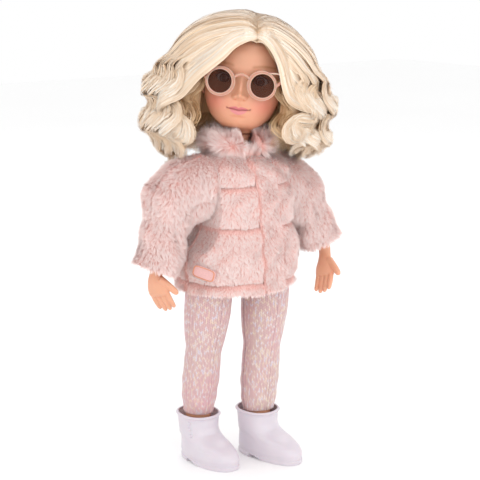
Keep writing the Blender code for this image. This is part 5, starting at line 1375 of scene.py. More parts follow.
def pile_blades(outer, inner, rng, per_area, length, comb, lean, shorten=None):
    """Fur on a grid of points: three points of each blade, its sideways direction and its shade.

    comb gives the way that the pile lies at each place, lean how far it stands out, and shorten how
    much of the length is left there.
    """
    a, b, c, d = outer[:-1, :-1], outer[:-1, 1:], outer[1:, :-1], outer[1:, 1:]
    square = np.cross(b - a, c - a)
    area = np.linalg.norm(square, axis=-1)
    away = unit((outer - inner)[:-1, :-1])
    normals = unit(square) * np.sign(np.sum(square * away, -1, keepdims=True))
    count = int(area.sum() * per_area)
    pick = rng.choice(area.size, count, p=(area / area.sum()).ravel())
    i, j = np.divmod(pick, area.shape[1])
    s, t = rng.random((2, count, 1))
    root = a[i, j] * (1 - s) * (1 - t) + b[i, j] * s * (1 - t) + c[i, j] * (1 - s) * t + d[i, j] * s * t
    normal = normals[i, j]
    kept = np.ones(count) if shorten is None else shorten(root)
    centres = root[rng.choice(count, max(4, count // CLUMP_BLADES), replace=False)]
    clump = clump_of(root, centres)
    clump_turn = rng.normal(0, 1, (len(centres), 3))[clump]
    clump_shade = rng.normal(0, 1, len(centres))[clump]
    lie = comb(root)
    lie = unit(lie - normal * np.sum(lie * normal, -1, keepdims=True))
    tuft = unit(lie + 0.24 * clump_turn)
    tuft = unit(tuft - normal * np.sum(tuft * normal, -1, keepdims=True))
    own = unit(tuft + 0.20 * rng.normal(0, 1, (count, 3)))
    reach = length * (kept * rng.uniform(0.65, 1.1, count) * (1 + 0.15 * clump_shade))[:, None]
    tip = root + (own * math.cos(lean) + normal * math.sin(lean)) * reach
    clump_tip = centres[clump] + (tuft * math.cos(lean) + normal * math.sin(lean)) * length * kept[:, None]
    tip += (clump_tip - tip) * (0.28 * kept)[:, None]
    middle = root + (tip - root) * 0.5 + normal * reach * 0.16
    sideways = unit(np.cross(tip - root, normal))
    # Each blade's shade: a random tone per clump and blade, lowered where the pile is shortened beside
    # seams and the placket, as painted shade in those hollows
    shade = 0.93 + 0.10 * clump_shade + 0.11 * rng.normal(0, 1, count)
    shade = np.clip(shade * (0.35 + 0.65 * kept), 0.02, 0.98)
    return root - normal * 0.0004, middle, tip, sideways, shade


def pile_mesh(name, blades, width):
    """One mesh of blades: a quad and a triangle each, with their shade and way along as places."""
    root, middle, tip, sideways, shade = blades
    count = len(root)
    half = sideways * width / 2
    points = np.stack([root - half, root + half, middle - half * 0.8, middle + half * 0.8, tip], 1)
    start = np.arange(count)[:, None] * 5
    quads = start + np.array([0, 1, 3, 2])
    triangles = start + np.array([2, 3, 4])
    thin = 0.004
    along = np.array([0.02, 0.02, 0.5, 0.5])
    side = np.array([-thin, thin, thin, -thin])
    quad_uv = np.stack([shade[:, None] + side, np.broadcast_to(along, (count, 4))], -1)
    tri_uv = np.stack([shade[:, None] + np.array([-thin, thin, 0]),
                       np.broadcast_to(np.array([0.5, 0.5, 0.98]), (count, 3))], -1)
    uv = np.concatenate([quad_uv.reshape(-1, 2), tri_uv.reshape(-1, 2)])
    return new_mesh(name, points, quads, triangles, None, uv)


def swaying(root, sway, up):
    """Directions at each root: round the doll by the sway, and up by an amount."""
    way = unit(np.stack([-root[:, 1], root[:, 0]], -1)) * sway[:, None]
    return np.concatenate([way, np.broadcast_to(up, len(root))[:, None]], -1)


def combed_down(root):
    """Pile that lies down the cloth, swaying a little from place to place."""
    sway = 0.35 * np.sin(root[:, 0] * 260 + 2 * np.sin(root[:, 2] * 190)) + 0.25 * np.sin(root[:, 1] * 330)
    return swaying(root, sway, -1.0)


def combed_up(root):
    """Pile of the stand collar: up and sideways near its top, down at its foot."""
    up = 1.5 * smooth_step(0.15, 0.75, (root[:, 2] - COAT_COLLAR_BASE) / COLLAR_HEIGHT) - 0.75
    return swaying(root, 0.8 * np.sin(root[:, 0] * 420 + root[:, 2] * 300), up)


def coat_share(height):
    """How far up the coat a height is, from 0 at the hem to 1 at the collar's foot."""
    return (height - COAT_HEM) / (COAT_COLLAR_BASE - COAT_HEM)


def seam_share(root):
    """How much of the pile's length is left beside the coat's seams."""
    share = coat_share(root[:, 2])
    kept = np.ones(len(root))
    for seam in COAT_SEAM_SHARES[1:-1]:
        kept = np.minimum(kept, 0.22 + 0.78 * smooth_step(0.0, 0.030, np.abs(share + 0.006 - seam)))
    angle = np.abs(np.arctan2(root[:, 0], -root[:, 1]))
    side = np.abs(angle - math.pi / 2) * COAT_HALF_WIDTH
    yoke = np.abs(angle - math.radians(59)) * COAT_HALF_WIDTH + 0.004 * (share < COAT_SEAM_SHARES[-2])
    kept = np.minimum(kept, 0.25 + 0.75 * smooth_step(0.0003, 0.0022, yoke))
    kept = np.minimum(kept, 0.06 + 0.94 * smooth_step(0.0014, 0.0034, side))
    return np.minimum(kept, placket_share(root))


def placket_middle(height):
    """Where the placket's middle is across the coat at a height."""
    return PLACKET_FOOT_X + (PLACKET_TOP_X - PLACKET_FOOT_X) * coat_share(height) ** 0.7


def placket_share(root):
    """How much of the pile's length is left beside the placket's edges."""
    across = root[:, 0] - placket_middle(np.clip(root[:, 2], COAT_HEM, None))
    edge = np.abs(np.abs(across) - PLACKET_WIDTH / 2) + 0.004 * (root[:, 1] > 0)
    return 0.20 + 0.80 * smooth_step(0.0002, 0.0018, edge)


def combed_high(root):
    """Pile that stands up between the ends of the collar."""
    lie = np.zeros_like(root)
    lie[:, 0] = 0.3 * np.sin(root[:, 0] * 900)
    lie[:, 2] = 1
    return lie


def grow_pile(name, grids, matrix, body, length, comb, lean, shorten=None):
    """The pile of one piece of fur as a piece of its own."""
    rng = np.random.default_rng(len(name) * 100 + ord(name[-2]))
    outer, inner = grids
    blades = pile_blades(outer, inner, rng, PILE_PER_AREA, length, comb, lean, shorten)
    place("pile_" + name, pile_mesh("pile_" + name, blades, BLADE_WIDTH), matrix, body, FUR)


# Coat


def coat_points(angle, height, seam_depth=0.0012, puff=COAT_PUFF):
    """Points of the coat's outer surface, puffed out between the quilting seams."""
    share = coat_share(height)
    front = np.clip(np.cos(angle), 0, None)
    sag = 0.0016 * np.sin(angle * 3.1 + 2.2) * front + 0.0012 * np.sin(angle * 7 + height * 40) * front
    share = share - sag / (COAT_COLLAR_BASE - COAT_HEM) * bell(share, 0.4, 0.35)
    width = shaped(COAT_SECTION_SHARES, share, 1) * COAT_HALF_WIDTH
    depth = shaped(COAT_SECTION_SHARES, share, 2) * COAT_HALF_DEPTH
    reach = oval_reach(angle, width, depth, depth, 2.3)
    row = np.clip(np.searchsorted(COAT_SEAM_SHARES, share, side="right") - 1, 0, len(COAT_SEAM_SHARES) - 2)
    low, high = np.array(COAT_SEAM_SHARES)[row], np.array(COAT_SEAM_SHARES)[row + 1]
    t = np.clip((share - low) / (high - low), 0, 1)
    low_row = np.where(row == 0, 0.45, 1.0)
    reach = reach + puff * low_row * (np.sin(math.pi * t) ** 0.5 - 0.55)
    crumple = 0.0007 * np.sin(angle * 9 + 3 * np.sin(height * 160)) * np.sin(math.pi * t)
    crumple = crumple + 0.0005 * np.sin(angle * 17 - height * 240) * np.sin(math.pi * t)
    reach = reach + crumple
    for seam in COAT_SEAM_SHARES[1:-1]:
        reach = reach - seam_depth * bell(share, seam, 0.012)
    side_angle = np.abs(np.mod(angle + math.pi, 2 * math.pi) - math.pi)
    reach = reach - 0.0012 * bell(side_angle, math.pi / 2, 0.035)
    points = round_about(angle, reach, height)
    limit = shaped(COAT_SECTION_SHARES, share, 3) * COAT_HALF_WIDTH
    points[..., 0] = np.clip(points[..., 0], -limit, limit)
    drawn_in = 1 - 0.075 * smooth_step(0.42, 0.20, share) * smooth_step(0, 0.03, points[..., 0])
    drawn_in = drawn_in - 0.04 * smooth_step(0.14, 0.09, share) * smooth_step(0, 0.03, points[..., 0])
    points[..., 0] = points[..., 0] * drawn_in
    return points


def hem_rise(angle):
    """How far the coat's lower edge stands above its lowest place, all round."""
    round_to_left = np.mod(angle + math.pi, 2 * math.pi) - math.pi
    rise = 0.0050 + 0.0030 * smooth_step(0.05, 0.75, round_to_left)
    return rise + 0.0006 * np.sin(angle * 5)


def inner_coat_points(angle, height):
    share = coat_share(height)
    width = shaped(COAT_SECTION_SHARES, share, 4) * COAT_HALF_WIDTH
    depth = shaped(COAT_SECTION_SHARES, share, 5) * COAT_HALF_DEPTH
    return round_about(angle, oval_reach(angle, width, depth, depth, 2.3), height)


def slab_form(outer, inner, wrap=False):
    """A bent sheet between two grids of points of the same size."""
    rows, columns = outer.shape[:2]
    count = rows * columns
    points = np.concatenate([outer.reshape(-1, 3), inner.reshape(-1, 3)])
    front = grid_quads(rows, columns, wrap)
    back = grid_quads(rows, columns, wrap, count)[:, ::-1]
    quads = [front, back]
    across = np.arange(columns if wrap else columns - 1)
    after = (across + 1) % columns
    for row in (0, rows - 1):
        a, b = row * columns + across, row * columns + after
        edge = np.stack([a, a + count, b + count, b], -1)
        quads.append(edge if row == 0 else edge[:, ::-1])
    if not wrap:
        down = np.arange(rows - 1)
        for column in (0, columns - 1):
            a, b = down * columns + column, (down + 1) * columns + column
            edge = np.stack([a, b, b + count, a + count], -1)
            quads.append(edge if column == 0 else edge[:, ::-1])
    return points, np.concatenate(quads), NO_TRIANGLES


def panel(name, start, end, low, high, body, replaces, columns, rows):
    """A panel of the coat's backing between two angles and two heights, and the grids of its faces."""
    z, angle = rows_by_columns(np.linspace(low, high, rows), np.linspace(start, end, columns))
    if low == COAT_HEM:
        z = z + hem_rise(angle) * smooth_step(COAT_HEM + 0.012, COAT_HEM, z)
    outer, inner = coat_points(angle, z), inner_coat_points(angle, z)
    mesh = new_mesh(name, *slab_form(outer, inner))
    place(name, mesh, BODY_FRAME, body, BACKING, replaces)
    return outer, inner


def build_coat():
    quarter = math.pi / 2
    panels = []
    for word, side in SIDES:
        start, end = sorted((side * PANEL_GAP, side * (quarter - PANEL_GAP)))
        panels += [("front_" + word, start, end, COAT_QUILT_SEAM, COAT_COLLAR_BASE, "torso"),
                   ("skirt_" + word, start, end, COAT_HEM, COAT_QUILT_SEAM, "skirt_" + word)]
    start, end = quarter + PANEL_GAP, 3 * quarter - PANEL_GAP
    panels.append(("back", start, end, COAT_HEM, COAT_COLLAR_BASE, "torso"))
    for name, start, end, low, high, body in panels:
        steps, length = ((160, 180), BACK_PILE_LENGTH) if name == "back" else ((110, 110), PILE_LENGTH)
        grids = panel("fur_" + name, start, end, low, high, body, ["coat_" + name], *steps)
        grow_pile(name, grids, BODY_FRAME, body, length, combed_down, PILE_LEAN, seam_share)


def placket_points(x, z):
    """How far back the coat's front is under the placket, its quilting smoothed away."""
    return coat_points(x / COAT_HALF_DEPTH, z, 0, COAT_PUFF * 0.3)[..., 1]


def build_placket():
    """The fur strip down the front and the two fastening tapes under it."""
    high = COAT_COLLAR_BASE - COLLAR_HEIGHT * 0.35
    z, across = rows_by_columns(np.linspace(COAT_HEM + PLACKET_FOOT_RISE, high, 160),
                                np.linspace(-1, 1, 36))
    x = placket_middle(z) + across * PLACKET_WIDTH / 2
    base = placket_points(x, z)
    edge = 1 - 0.45 * np.abs(across) ** 4
    outer = np.stack([x, base - PLACKET_THICKNESS * 0.75 * edge, z], -1)
    inner = np.stack([x, base + 0.0006, z], -1)
    mesh = new_mesh("fur_placket", *slab_form(outer, inner))
    place("fur_placket", mesh, BODY_FRAME, "skirt_left", BACKING, ["coat_placket"])
    grow_pile("placket", (outer, inner), BODY_FRAME, "skirt_left", PILE_LENGTH, combed_down,
              PLACKET_PILE_LEAN, placket_share)
    z, x = rows_by_columns(np.linspace(COAT_QUILT_SEAM + 0.008, high - 0.008, 40),
                           np.linspace(-TAPE_WIDTH / 2, TAPE_WIDTH / 2, 10))
    for i, name in enumerate(("loop_tape", "hook_tape")):
        base = placket_points(x, z) + 0.0022 - 0.0008 * i
        outer, inner = np.stack([x, base - TAPE_THICKNESS, z], -1), np.stack([x, base, z], -1)
        mesh = new_mesh(name, *slab_form(outer, inner))
        place(name, mesh, BODY_FRAME, "torso", TAPE, ["coat_" + name])


def collar_points(angle, share):
    """Points of the collar's outside at an angle and a share of its height."""
    far = shaped(((0, 0.90), (0.35, 1.0), (0.7, 0.98), (1, 0.86)), share)
    reach = COLLAR_RADIUS * far + 0.0004 * np.sin(angle * 11)
    return round_about(angle, reach, COAT_COLLAR_BASE + 0.0002 + COLLAR_HEIGHT * share)


def build_collar():
    """The two halves of the stand collar, and the pile that stands up between their ends."""
    opening = COLLAR_OPENING / 2 / COLLAR_RADIUS
    middle = COLLAR_OPENING_X / COLLAR_RADIUS
    for word, start, end in (("left", middle + opening, math.pi), ("right", -math.pi, middle - opening)):
        share, angle = rows_by_columns(np.linspace(0, 1, 40), np.linspace(start, end, 120))
        outer = collar_points(angle, share)
        near = COLLAR_BORE * shaped(((0, 1.0), (0.35, 0.98), (0.7, 1.0), (1, 1.12)), share)
        inner = round_about(angle, near, outer[..., 2])
        mesh = new_mesh("fur_collar_" + word, *slab_form(outer, inner))
        place("fur_collar_" + word, mesh, BODY_FRAME, "torso", BACKING, ["coat_collar_" + word])
        over = outer[-1:] + (inner[-1:] - outer[-1:]) * np.linspace(0.2, 1, 8)[:, None, None]
        under = np.repeat(inner[-1:] - np.array([0, 0, 0.002]), 8, 0)
        grids = np.concatenate([outer, over]), np.concatenate([inner, under])
        grow_pile("collar_" + word, grids, BODY_FRAME, "torso", COLLAR_PILE_LENGTH, combed_up,
                  COLLAR_PILE_LEAN)
    z, angle = rows_by_columns(np.linspace(COAT_COLLAR_BASE - 0.004, COAT_COLLAR_BASE, 10),
                               np.linspace(-0.66, 0.24, 40))
    strip = coat_points(angle, z), inner_coat_points(angle, z)
    grow_pile("collar_front", strip, BODY_FRAME, "torso", COLLAR_FRONT_PILE_LENGTH, combed_high,
              COLLAR_FRONT_PILE_LEAN)


def patch_points(across, up, lift):
    """Points on the coat's side at places on the tilted patch, lifted off the cloth."""
    turned = across * math.cos(PATCH_TILT) - up * math.sin(PATCH_TILT)
    height = PATCH_CENTRE + across * math.sin(PATCH_TILT) + up * math.cos(PATCH_TILT)
    base = coat_points(PATCH_ANGLE + turned / COAT_HALF_WIDTH, height)
    way = base * np.array([1.0, 1.0, 0])
    return base + unit(way) * np.asarray(lift)[..., None]


def patch_border(size, count):
    """Places round the patch at a share of its size, with rounded corners."""
    turn = np.linspace(0, 2 * math.pi, count)
    reach = 1 / (np.abs(np.cos(turn)) ** 5 + np.abs(np.sin(turn)) ** 5) ** (1 / 5)
    return PATCH_WIDTH / 2 * size * reach * np.cos(turn), PATCH_HEIGHT / 2 * size * reach * np.sin(turn)


def build_patch():
    rows, columns = 24, 96
    size = np.linspace(0.02, 1, rows)[:, None]
    across, up = patch_border(1, columns + 1)
    across, up = across[:-1] * size, up[:-1] * size
    edge = 1 - 0.7 * size**8 + 0 * across
    outer = patch_points(across, up, 0.0030 + PATCH_THICKNESS * edge)
    inner = patch_points(across, up, 0.0004 + 0 * across)
    mesh = new_mesh("bare_patch", *slab_form(outer, inner, True))
    place("bare_patch", mesh, BODY_FRAME, "skirt_right", PATCH_CLOTH, ["coat_patch"])
    parts = []
    for size in (0.93, 0.88):
        across, up = patch_border(size, 90)
        parts.append(round_bar(patch_points(across, up, 0.0030 + PATCH_THICKNESS + 0 * across),
                               [PATCH_STITCH_RADIUS] * 90, 180, 8))
    mesh = new_mesh("patch_border", *joined(parts))
    place("patch_border", mesh, BODY_FRAME, "skirt_right", PATCH_BORDER)
    parts = []
    for i in range(15):
        across = PATCH_WIDTH * (0.30 * i / 7 - 0.46) + np.linspace(0, 1, 6) * 0.0007
        places = patch_points(across, -PATCH_HEIGHT * 0.66 + 0 * across, 0.0036 + 0 * across)
        parts.append(round_bar(places, [PATCH_STITCH_RADIUS * 1.3] * 6, 8, 8))
    mesh = new_mesh("patch_stitches", *joined(parts))
    place("patch_stitches", mesh, BODY_FRAME, "skirt_right", STITCH_CLOTH)


def sleeve_grid(side, rows, columns):
    """The outer surface of a sleeve from the armhole to the cuff, in its arm's frame, and its bore."""
    shoulder, cuff, elbow, wrist = arm_points()
    axis = cuff - shoulder
    start = np.array([ARMHOLE_X + SKIN_GAP, 0, 0])
    shares = np.linspace(0, SLEEVE_END_SHARES[side], rows)
    lower = unit(wrist - elbow)
    a = full_turn(columns)
    up_share, forward_share = np.cos(a)[:, None], np.sin(a)[:, None]
    outer, inner = [], []
    forward = np.array([0, 1.0, 0])
    for share in shares:
        tilt = float(shaped(SLEEVE_SECTION_SHARES, share, 3))
        far = float(shaped(SLEEVE_SECTION_SHARES, share, 1))
        bend = smooth_step(0.35, 1.0, share)
        way = unit(unit(axis) * (1 - bend) + lower * bend)
        middle = start + (shoulder + axis - start) * share
        middle = middle + np.array([-0.0055, 0, -0.0035]) * smooth_step(0.45, 1.0, share)
        middle = middle + sleeve_shift(side, share)
        bow = math.sin(math.pi * share) * ARMHOLE_RADIUS * 0.10
        middle = middle + np.array([bow * 0.7, 0, bow * 0.7])
        normal = unit(np.array([1.0, 0, 0]) * (1 - tilt) + way * tilt)
        up = unit(np.cross(normal, forward))
        radius = (ARMHOLE_RADIUS + (SLEEVE_RADIUS - ARMHOLE_RADIUS) * tilt) * far
        radius = radius + (CUFF_RADIUS * 0.94 - radius) * smooth_step(0.88, 1.04, share)
        ripple = 0.0009 * np.sin(a * 5 + share * 11) * math.sin(math.pi * share)
        ripple = ripple + 0.0011 * math.sin(share * 19) * math.sin(math.pi * share) * (1 + 0.5 * np.cos(a))
        puff = SLEEVE_PUFF[side] * bell(share, 0.24, 0.28) * np.clip(np.cos(a), 0, None) ** 0.7
        flat = SLEEVE_FLAT[side] * smooth_step(0.02, 0.14, share)
        flat = flat * (1 - 0.75 * smooth_step(0.6, 0.95, share))
        flat = 1 - flat * np.clip(-np.sin(a - 0.5), 0, None)
        reach = ((radius + ripple) * flat + puff)[:, None]
        outer.append(middle + forward * (reach * forward_share) + up * (reach * up_share))
        bore = np.minimum(SLEEVE_BORE * float(shaped(SLEEVE_SECTION_SHARES, share, 2)), reach - 0.0012)
        inner.append(middle + forward * (bore * forward_share) + up * (bore * up_share))
    return mirrored(np.array(outer), side), mirrored(np.array(inner), side)


def build_sleeves():
    for word, side in SIDES:
        outer, inner = sleeve_grid(side, 110, 110)
        points, quads, triangles = slab_form(outer, inner, True)
        if side < 0:
            quads = quads[:, ::-1]
        mesh = new_mesh("fur_sleeve_" + word, points, quads, triangles)
        arm = "arm_" + word
        place("fur_sleeve_" + word, mesh, ARM_FRAME[word], arm, BACKING, ["coat_sleeve_" + word])
        grow_pile("sleeve_" + word, (outer, inner), ARM_FRAME[word], arm, SLEEVE_PILE_LENGTH, combed_down,
                  SLEEVE_PILE_LEAN)


# Hair

HAIR_CENTRE = np.array([0, HEAD_CENTRE_Y, 0.045])
PART_FOOT = np.array([0.0075, -0.0265, 0.0700])
PART_CROWN = np.array([0.0035, 0.0160, 0.0885])
LOCK_POINTS = 96
STRAND_POINTS = 44
STRAND_WIDTH = 0.00042
WAVE_LENGTH = 0.027
WAVE_CREST = 0.028
WAVE_RADIUS = 0.0052
COMBED_TO = 0.052
HAIR_END_RISE = {1: 0.0130, -1: -0.0060}
BESIDE_FACE_END = {1: -0.003, -1: -0.018}
FIRST_LOCK = {1: math.radians(60), -1: math.radians(56)}

# Layers of locks from the outside in: depth share, locks on each side, offset, shade and strands of each;
# the lower shade of the inner layers is painted shade
HAIR_LAYERS = ((1.0, 30, 0.0, 0.66, 74), (0.91, 24, 0.5, 0.52, 56), (0.80, 18, 0.25, 0.36, 40))

# Locks that frame the face, from the foot of the parting, in the head's frame, and the ringlet that
# ends each: its middle, its first and last radius, where it starts and how far it turns
FACE_LOCKS = {
    "right": (
        ((0.0070, -0.0262, 0.0738), (-0.0005, -0.0352, 0.0724), (-0.0095, -0.0402, 0.0668),
         (-0.0170, -0.0425, 0.0580), (-0.0250, -0.0430, 0.0500), (-0.0320, -0.0410, 0.0430),
         (-0.0380, -0.0380, 0.0350), (-0.0440, -0.0340, 0.0270), (-0.0540, -0.0300, 0.0200),
         (-0.0595, -0.0280, 0.0125), (-0.0555, -0.0280, 0.0065), (-0.0480, -0.0290, 0.0050)),
        (-0.0410, -0.0290, -0.0035), 0.0082, 0.0050, math.radians(112), math.radians(-520),
    ),
    "left": (
        ((0.0085, -0.0262, 0.0743), (0.0150, -0.0322, 0.0728), (0.0218, -0.0348, 0.0668),
         (0.0275, -0.0360, 0.0580), (0.0310, -0.0355, 0.0490), (0.0340, -0.0345, 0.0400),
         (0.0380, -0.0335, 0.0330), (0.0450, -0.0310, 0.0290), (0.0530, -0.0290, 0.0265),
         (0.0580, -0.0280, 0.0215), (0.0560, -0.0280, 0.0165), (0.0500, -0.0290, 0.0150)),
        (0.0450, -0.0290, 0.0070), 0.0080, 0.0048, math.radians(68), math.radians(520),
    ),
}


def hair_reach(angle, height):
    share = height / HAIR_TOP
    width = shaped(HAIR_SECTION_SHARES, share, 1) * HAIR_HALF_WIDTH
    front = shaped(HAIR_SECTION_SHARES, share, 2) * HAIR_HALF_DEPTH
    back = shaped(HAIR_SECTION_SHARES, share, 3) * HAIR_HALF_DEPTH
    return oval_reach(angle, width, front, back)


def reach_along(directions):
    """How far the hair's outline is from its centre along each direction."""
    low = np.zeros(directions.shape[:-1])
    high = np.full(directions.shape[:-1], 0.12)
    for _ in range(30):
        middle = (low + high) / 2
        spot = HAIR_CENTRE + directions * middle[..., None]
        angle = np.arctan2(spot[..., 0], -(spot[..., 1] - HEAD_CENTRE_Y))
        across = np.hypot(spot[..., 0], spot[..., 1] - HEAD_CENTRE_Y)
        inside = (across < hair_reach(angle, spot[..., 2])) & (spot[..., 2] < HAIR_TOP)
        low = np.where(inside, middle, low)
        high = np.where(inside, high, middle)
    return (low + high) / 2


def turned_between(start, end, share):
    """Directions on the way from one unit direction to another."""
    angle = math.acos(float(np.clip(start @ end, -1, 1)))
    near, far = np.sin((1 - share) * angle)[:, None], np.sin(share * angle)[:, None]
    return (near * start + far * end) / math.sin(angle)


def evenly(line, values, count):
    """The line with evenly spaced points, and the values there."""
    reach = np.concatenate([[0], np.cumsum(np.linalg.norm(np.diff(line, axis=0), axis=1))])
    at = np.linspace(0, reach[-1], count)
    return np.stack([np.interp(at, reach, line[:, i]) for i in range(3)], -1), np.interp(at, reach, values)


def combed_line(part_share, side, azimuth, depth):
    """The smooth upper part of a lock, from the parting over the head."""
    root = PART_FOOT + (PART_CROWN - PART_FOOT) * part_share
    root[2] += 0.0052 * math.sin(math.pi * part_share) ** 0.8
    root[2] += 0.0012
    root[0] += side * 0.0001
    start = unit(root - HAIR_CENTRE)
    reach = float(hair_reach(np.array(azimuth), np.array(COMBED_TO))) * depth
    foot = round_about(np.array(azimuth), reach, COMBED_TO) + np.array([0, HEAD_CENTRE_Y, 0])
    end = unit(foot - HAIR_CENTRE)
    share = np.linspace(0, 1, 30)
    ways = turned_between(start, end, share)
    far = reach_along(ways) * (1 - (1 - depth) * smooth_step(0, 0.6, share))
    near = np.linalg.norm(root - HAIR_CENTRE)
    rise = np.sin(np.clip(share / 0.16, 0, 1) * math.pi / 2) ** 0.8
    return HAIR_CENTRE + ways * (near + (far - near) * rise)[:, None]


def lock_line(lock):
    """The middle of a lock, and its painted highlight along the way, strongest on the crests of the waves:
    combed over the head, then coiled waves.
    """
    side, azimuth, depth, end = lock["side"], lock["azimuth"], lock["depth"], lock["end"]
    top = combed_line(lock["part"], side, azimuth, depth)
    share = np.linspace(0, 1, 160)
    height = COMBED_TO + (end - COMBED_TO) * share
    speed = 1 + lock["tight"] * smooth_step(0.68, 1, share)
    drop = np.concatenate([[0], np.cumsum(-np.diff(height) * speed[1:])])
    uneven = 1 + 3 * smooth_step(math.radians(95), math.radians(130), abs(azimuth))
    turn = 2 * math.pi * (WAVE_CREST - COMBED_TO + drop) / WAVE_LENGTH + lock["phase"] * uneven
    radius = WAVE_RADIUS * lock["wave"] * smooth_step(0, 0.30, share)
    radius = radius * (1 - 0.28 * smooth_step(0.72, 1, share))
    reach = hair_reach(np.full(160, azimuth), height) * depth
    reach = reach - radius * (1 - np.cos(turn)) * 0.5 + lock["flick"] * smooth_step(0.55, 1, share) ** 2
    reach = reach - 0.004 * smooth_step(0.85, 1, share) * (lock["flick"] == 0)
    angle = azimuth + side * radius * 1.25 * np.sin(turn) / np.maximum(reach, 0.02)
    down = round_about(angle, reach, height) + np.array([0, HEAD_CENTRE_Y, 0])
    line = np.concatenate([top[:-1], down])
    # Painted highlight on the crests of the waves
    bright = np.concatenate([np.zeros(29), smooth_step(0.05, 0.3, share) * np.cos(turn)])
    for _ in range(3):
        line[1:-1] = (line[:-2] + 2 * line[1:-1] + line[2:]) / 4
    return evenly(line, bright, LOCK_POINTS)


def face_lock_line(word):
    """The lock beside the face, which sweeps over the forehead and ends in a round ringlet."""
    places, middle, first, last, start, turned = FACE_LOCKS[word]
    share = np.linspace(0, 1, 60)
    angle = start + turned * share
    reach = first + (last - first) * share
    ring = np.stack([middle[0] + reach * np.cos(angle), middle[1] - 0.003 * share,
                     middle[2] + reach * np.sin(angle)], -1)
    path, _ = smooth_path(np.concatenate([places, ring[2:]]), np.zeros(len(places) + 58), 200)
    for _ in range(4):
        path[1:-1] = (path[:-2] + 2 * path[1:-1] + path[2:]) / 4
    return evenly(path, np.zeros(200), LOCK_POINTS)


def lock_strands(line, bright, lock, rng):
    """Ribbon strands of one lock: their two edges and the shade along each."""
    count = lock["count"]
    at = np.linspace(0, 1, STRAND_POINTS)
    index = np.linspace(0, 1, len(line))
    axis = np.array([0, HEAD_CENTRE_Y, 0.030])
    outward = line - axis
    outward[:, 2] *= 0.5
    bend = np.gradient(np.gradient(line, axis=0), axis=0)
    for _ in range(6):
        bend[1:-1] = (bend[:-2] + 2 * bend[1:-1] + bend[2:]) / 4
    outward = unit(outward) - 0.55 * bend / max(np.linalg.norm(bend, axis=1).max(), 1e-9)
    along, out, across = side_directions(line, outward)
    end_share = rng.uniform(0.94, 1.0, count)
    stretch = at[None] * end_share[:, None]

    def along_lock(values):
        return np.stack([np.interp(stretch, index, values[:, i]) for i in range(3)], -1)

    def drift():
        """A slow wander of each strand to one side and back."""
        return sum(rng.normal(0, size, count)[:, None]
                   * np.sin((k + 1) * 3.6 * stretch + rng.uniform(0, 6, count)[:, None])
                   for k, size in enumerate((0.5, 0.3, 0.2)))

    centre, along = along_lock(line), along_lock(along)
    out, across = unit(along_lock(out)), unit(along_lock(across))
    wide = np.interp(stretch, (0, 0.08, 0.3, 0.75, 0.93, 1), (0.55, 1.0, 1.15, 1.0, 0.85, 0.45))
    thick = np.interp(stretch, (0, 0.3, 0.55, 0.9, 1), (0.20, 0.35, 1.0, 0.9, 0.5))
    wide, thick = lock["wide"] * wide, lock["thick"] * thick
    first_turn = rng.uniform(0, 2 * math.pi, count)[:, None]
    radius = rng.uniform(0.05, 1, count)[:, None] ** 0.5
    turn = first_turn + lock["twist"] * smooth_step(0.5, 1.0, stretch)
    a = np.cos(turn) * radius + 0.14 * drift()
    b = np.sin(turn) * radius + 0.14 * drift()
    points = centre + across * (a * wide)[..., None] + out * (b * thick)[..., None]
    normal = unit(across * (a * 0.5)[..., None] + out * (b * 0.4 + 0.9)[..., None])
    half = STRAND_WIDTH / 2 * np.interp(at, (0, 0.08, 0.8, 1), (0.8, 1.1, 0.9, 0.15))[None]
    half = half * rng.uniform(0.7, 1.3, count)[:, None]
    sideways = unit(np.cross(along, normal)) * half[..., None]
    # Tone of each strand: the lock's shade, higher on the lock's outer side as painted highlight, random
    # per strand, lower at the roots as painted shade and higher on wave crests as painted highlight
    tone = lock["shade"] + 0.10 * b + rng.normal(0, 0.12, count)[:, None]
    tone = tone + 0.04 * np.sin(stretch * 9 + first_turn)
    tone = tone - 0.06 * (1 - smooth_step(0, 0.04, stretch)) + 0.10 * np.interp(stretch, index, bright)
    return points - sideways, points + sideways, np.clip(tone, 0.02, 0.98)


def strand_mesh(name, left, right, tone):
    """One mesh of ribbons from the two edges of each, with a place in the shade map for every corner."""
    count, steps = left.shape[:2]
    points = np.stack([left, right], 2).reshape(-1, 3)
    base = (np.arange(count) * steps * 2)[:, None] + np.arange(steps - 1)[None] * 2
    quads = np.stack([base, base + 1, base + 3, base + 2], -1).reshape(-1, 4)
    v = np.linspace(0.02, 0.98, steps)
    low, high = tone[:, :-1], tone[:, 1:]
    v0 = np.broadcast_to(v[:-1], low.shape)
    v1 = np.broadcast_to(v[1:], low.shape)
    thin = 0.003
    uv = np.stack([np.stack([low - thin, v0], -1), np.stack([low + thin, v0], -1),
                   np.stack([high + thin, v1], -1), np.stack([high - thin, v1], -1)], 2).reshape(-1, 2)
    return new_mesh(name, points, quads, None, None, uv)


def lock_form(side, azimuth, part, depth, end, shade, count, rng, flick=0.0):
    """The values of one lock, with the small differences that hair has."""
    return {
        "side": side, "azimuth": side * azimuth, "part": part, "depth": depth * HAIR_FULLNESS_SHARES[side],
        "end": end, "phase": rng.normal(0, 0.35), "wave": rng.uniform(0.8, 1.15),
        "tight": rng.uniform(0.9, 1.9), "flick": flick, "wide": rng.uniform(0.0052, 0.0068),
        "thick": rng.uniform(0.0020, 0.0027), "shade": shade + rng.normal(0, 0.05),
        "twist": rng.uniform(0.6, 2.2), "count": count,
    }


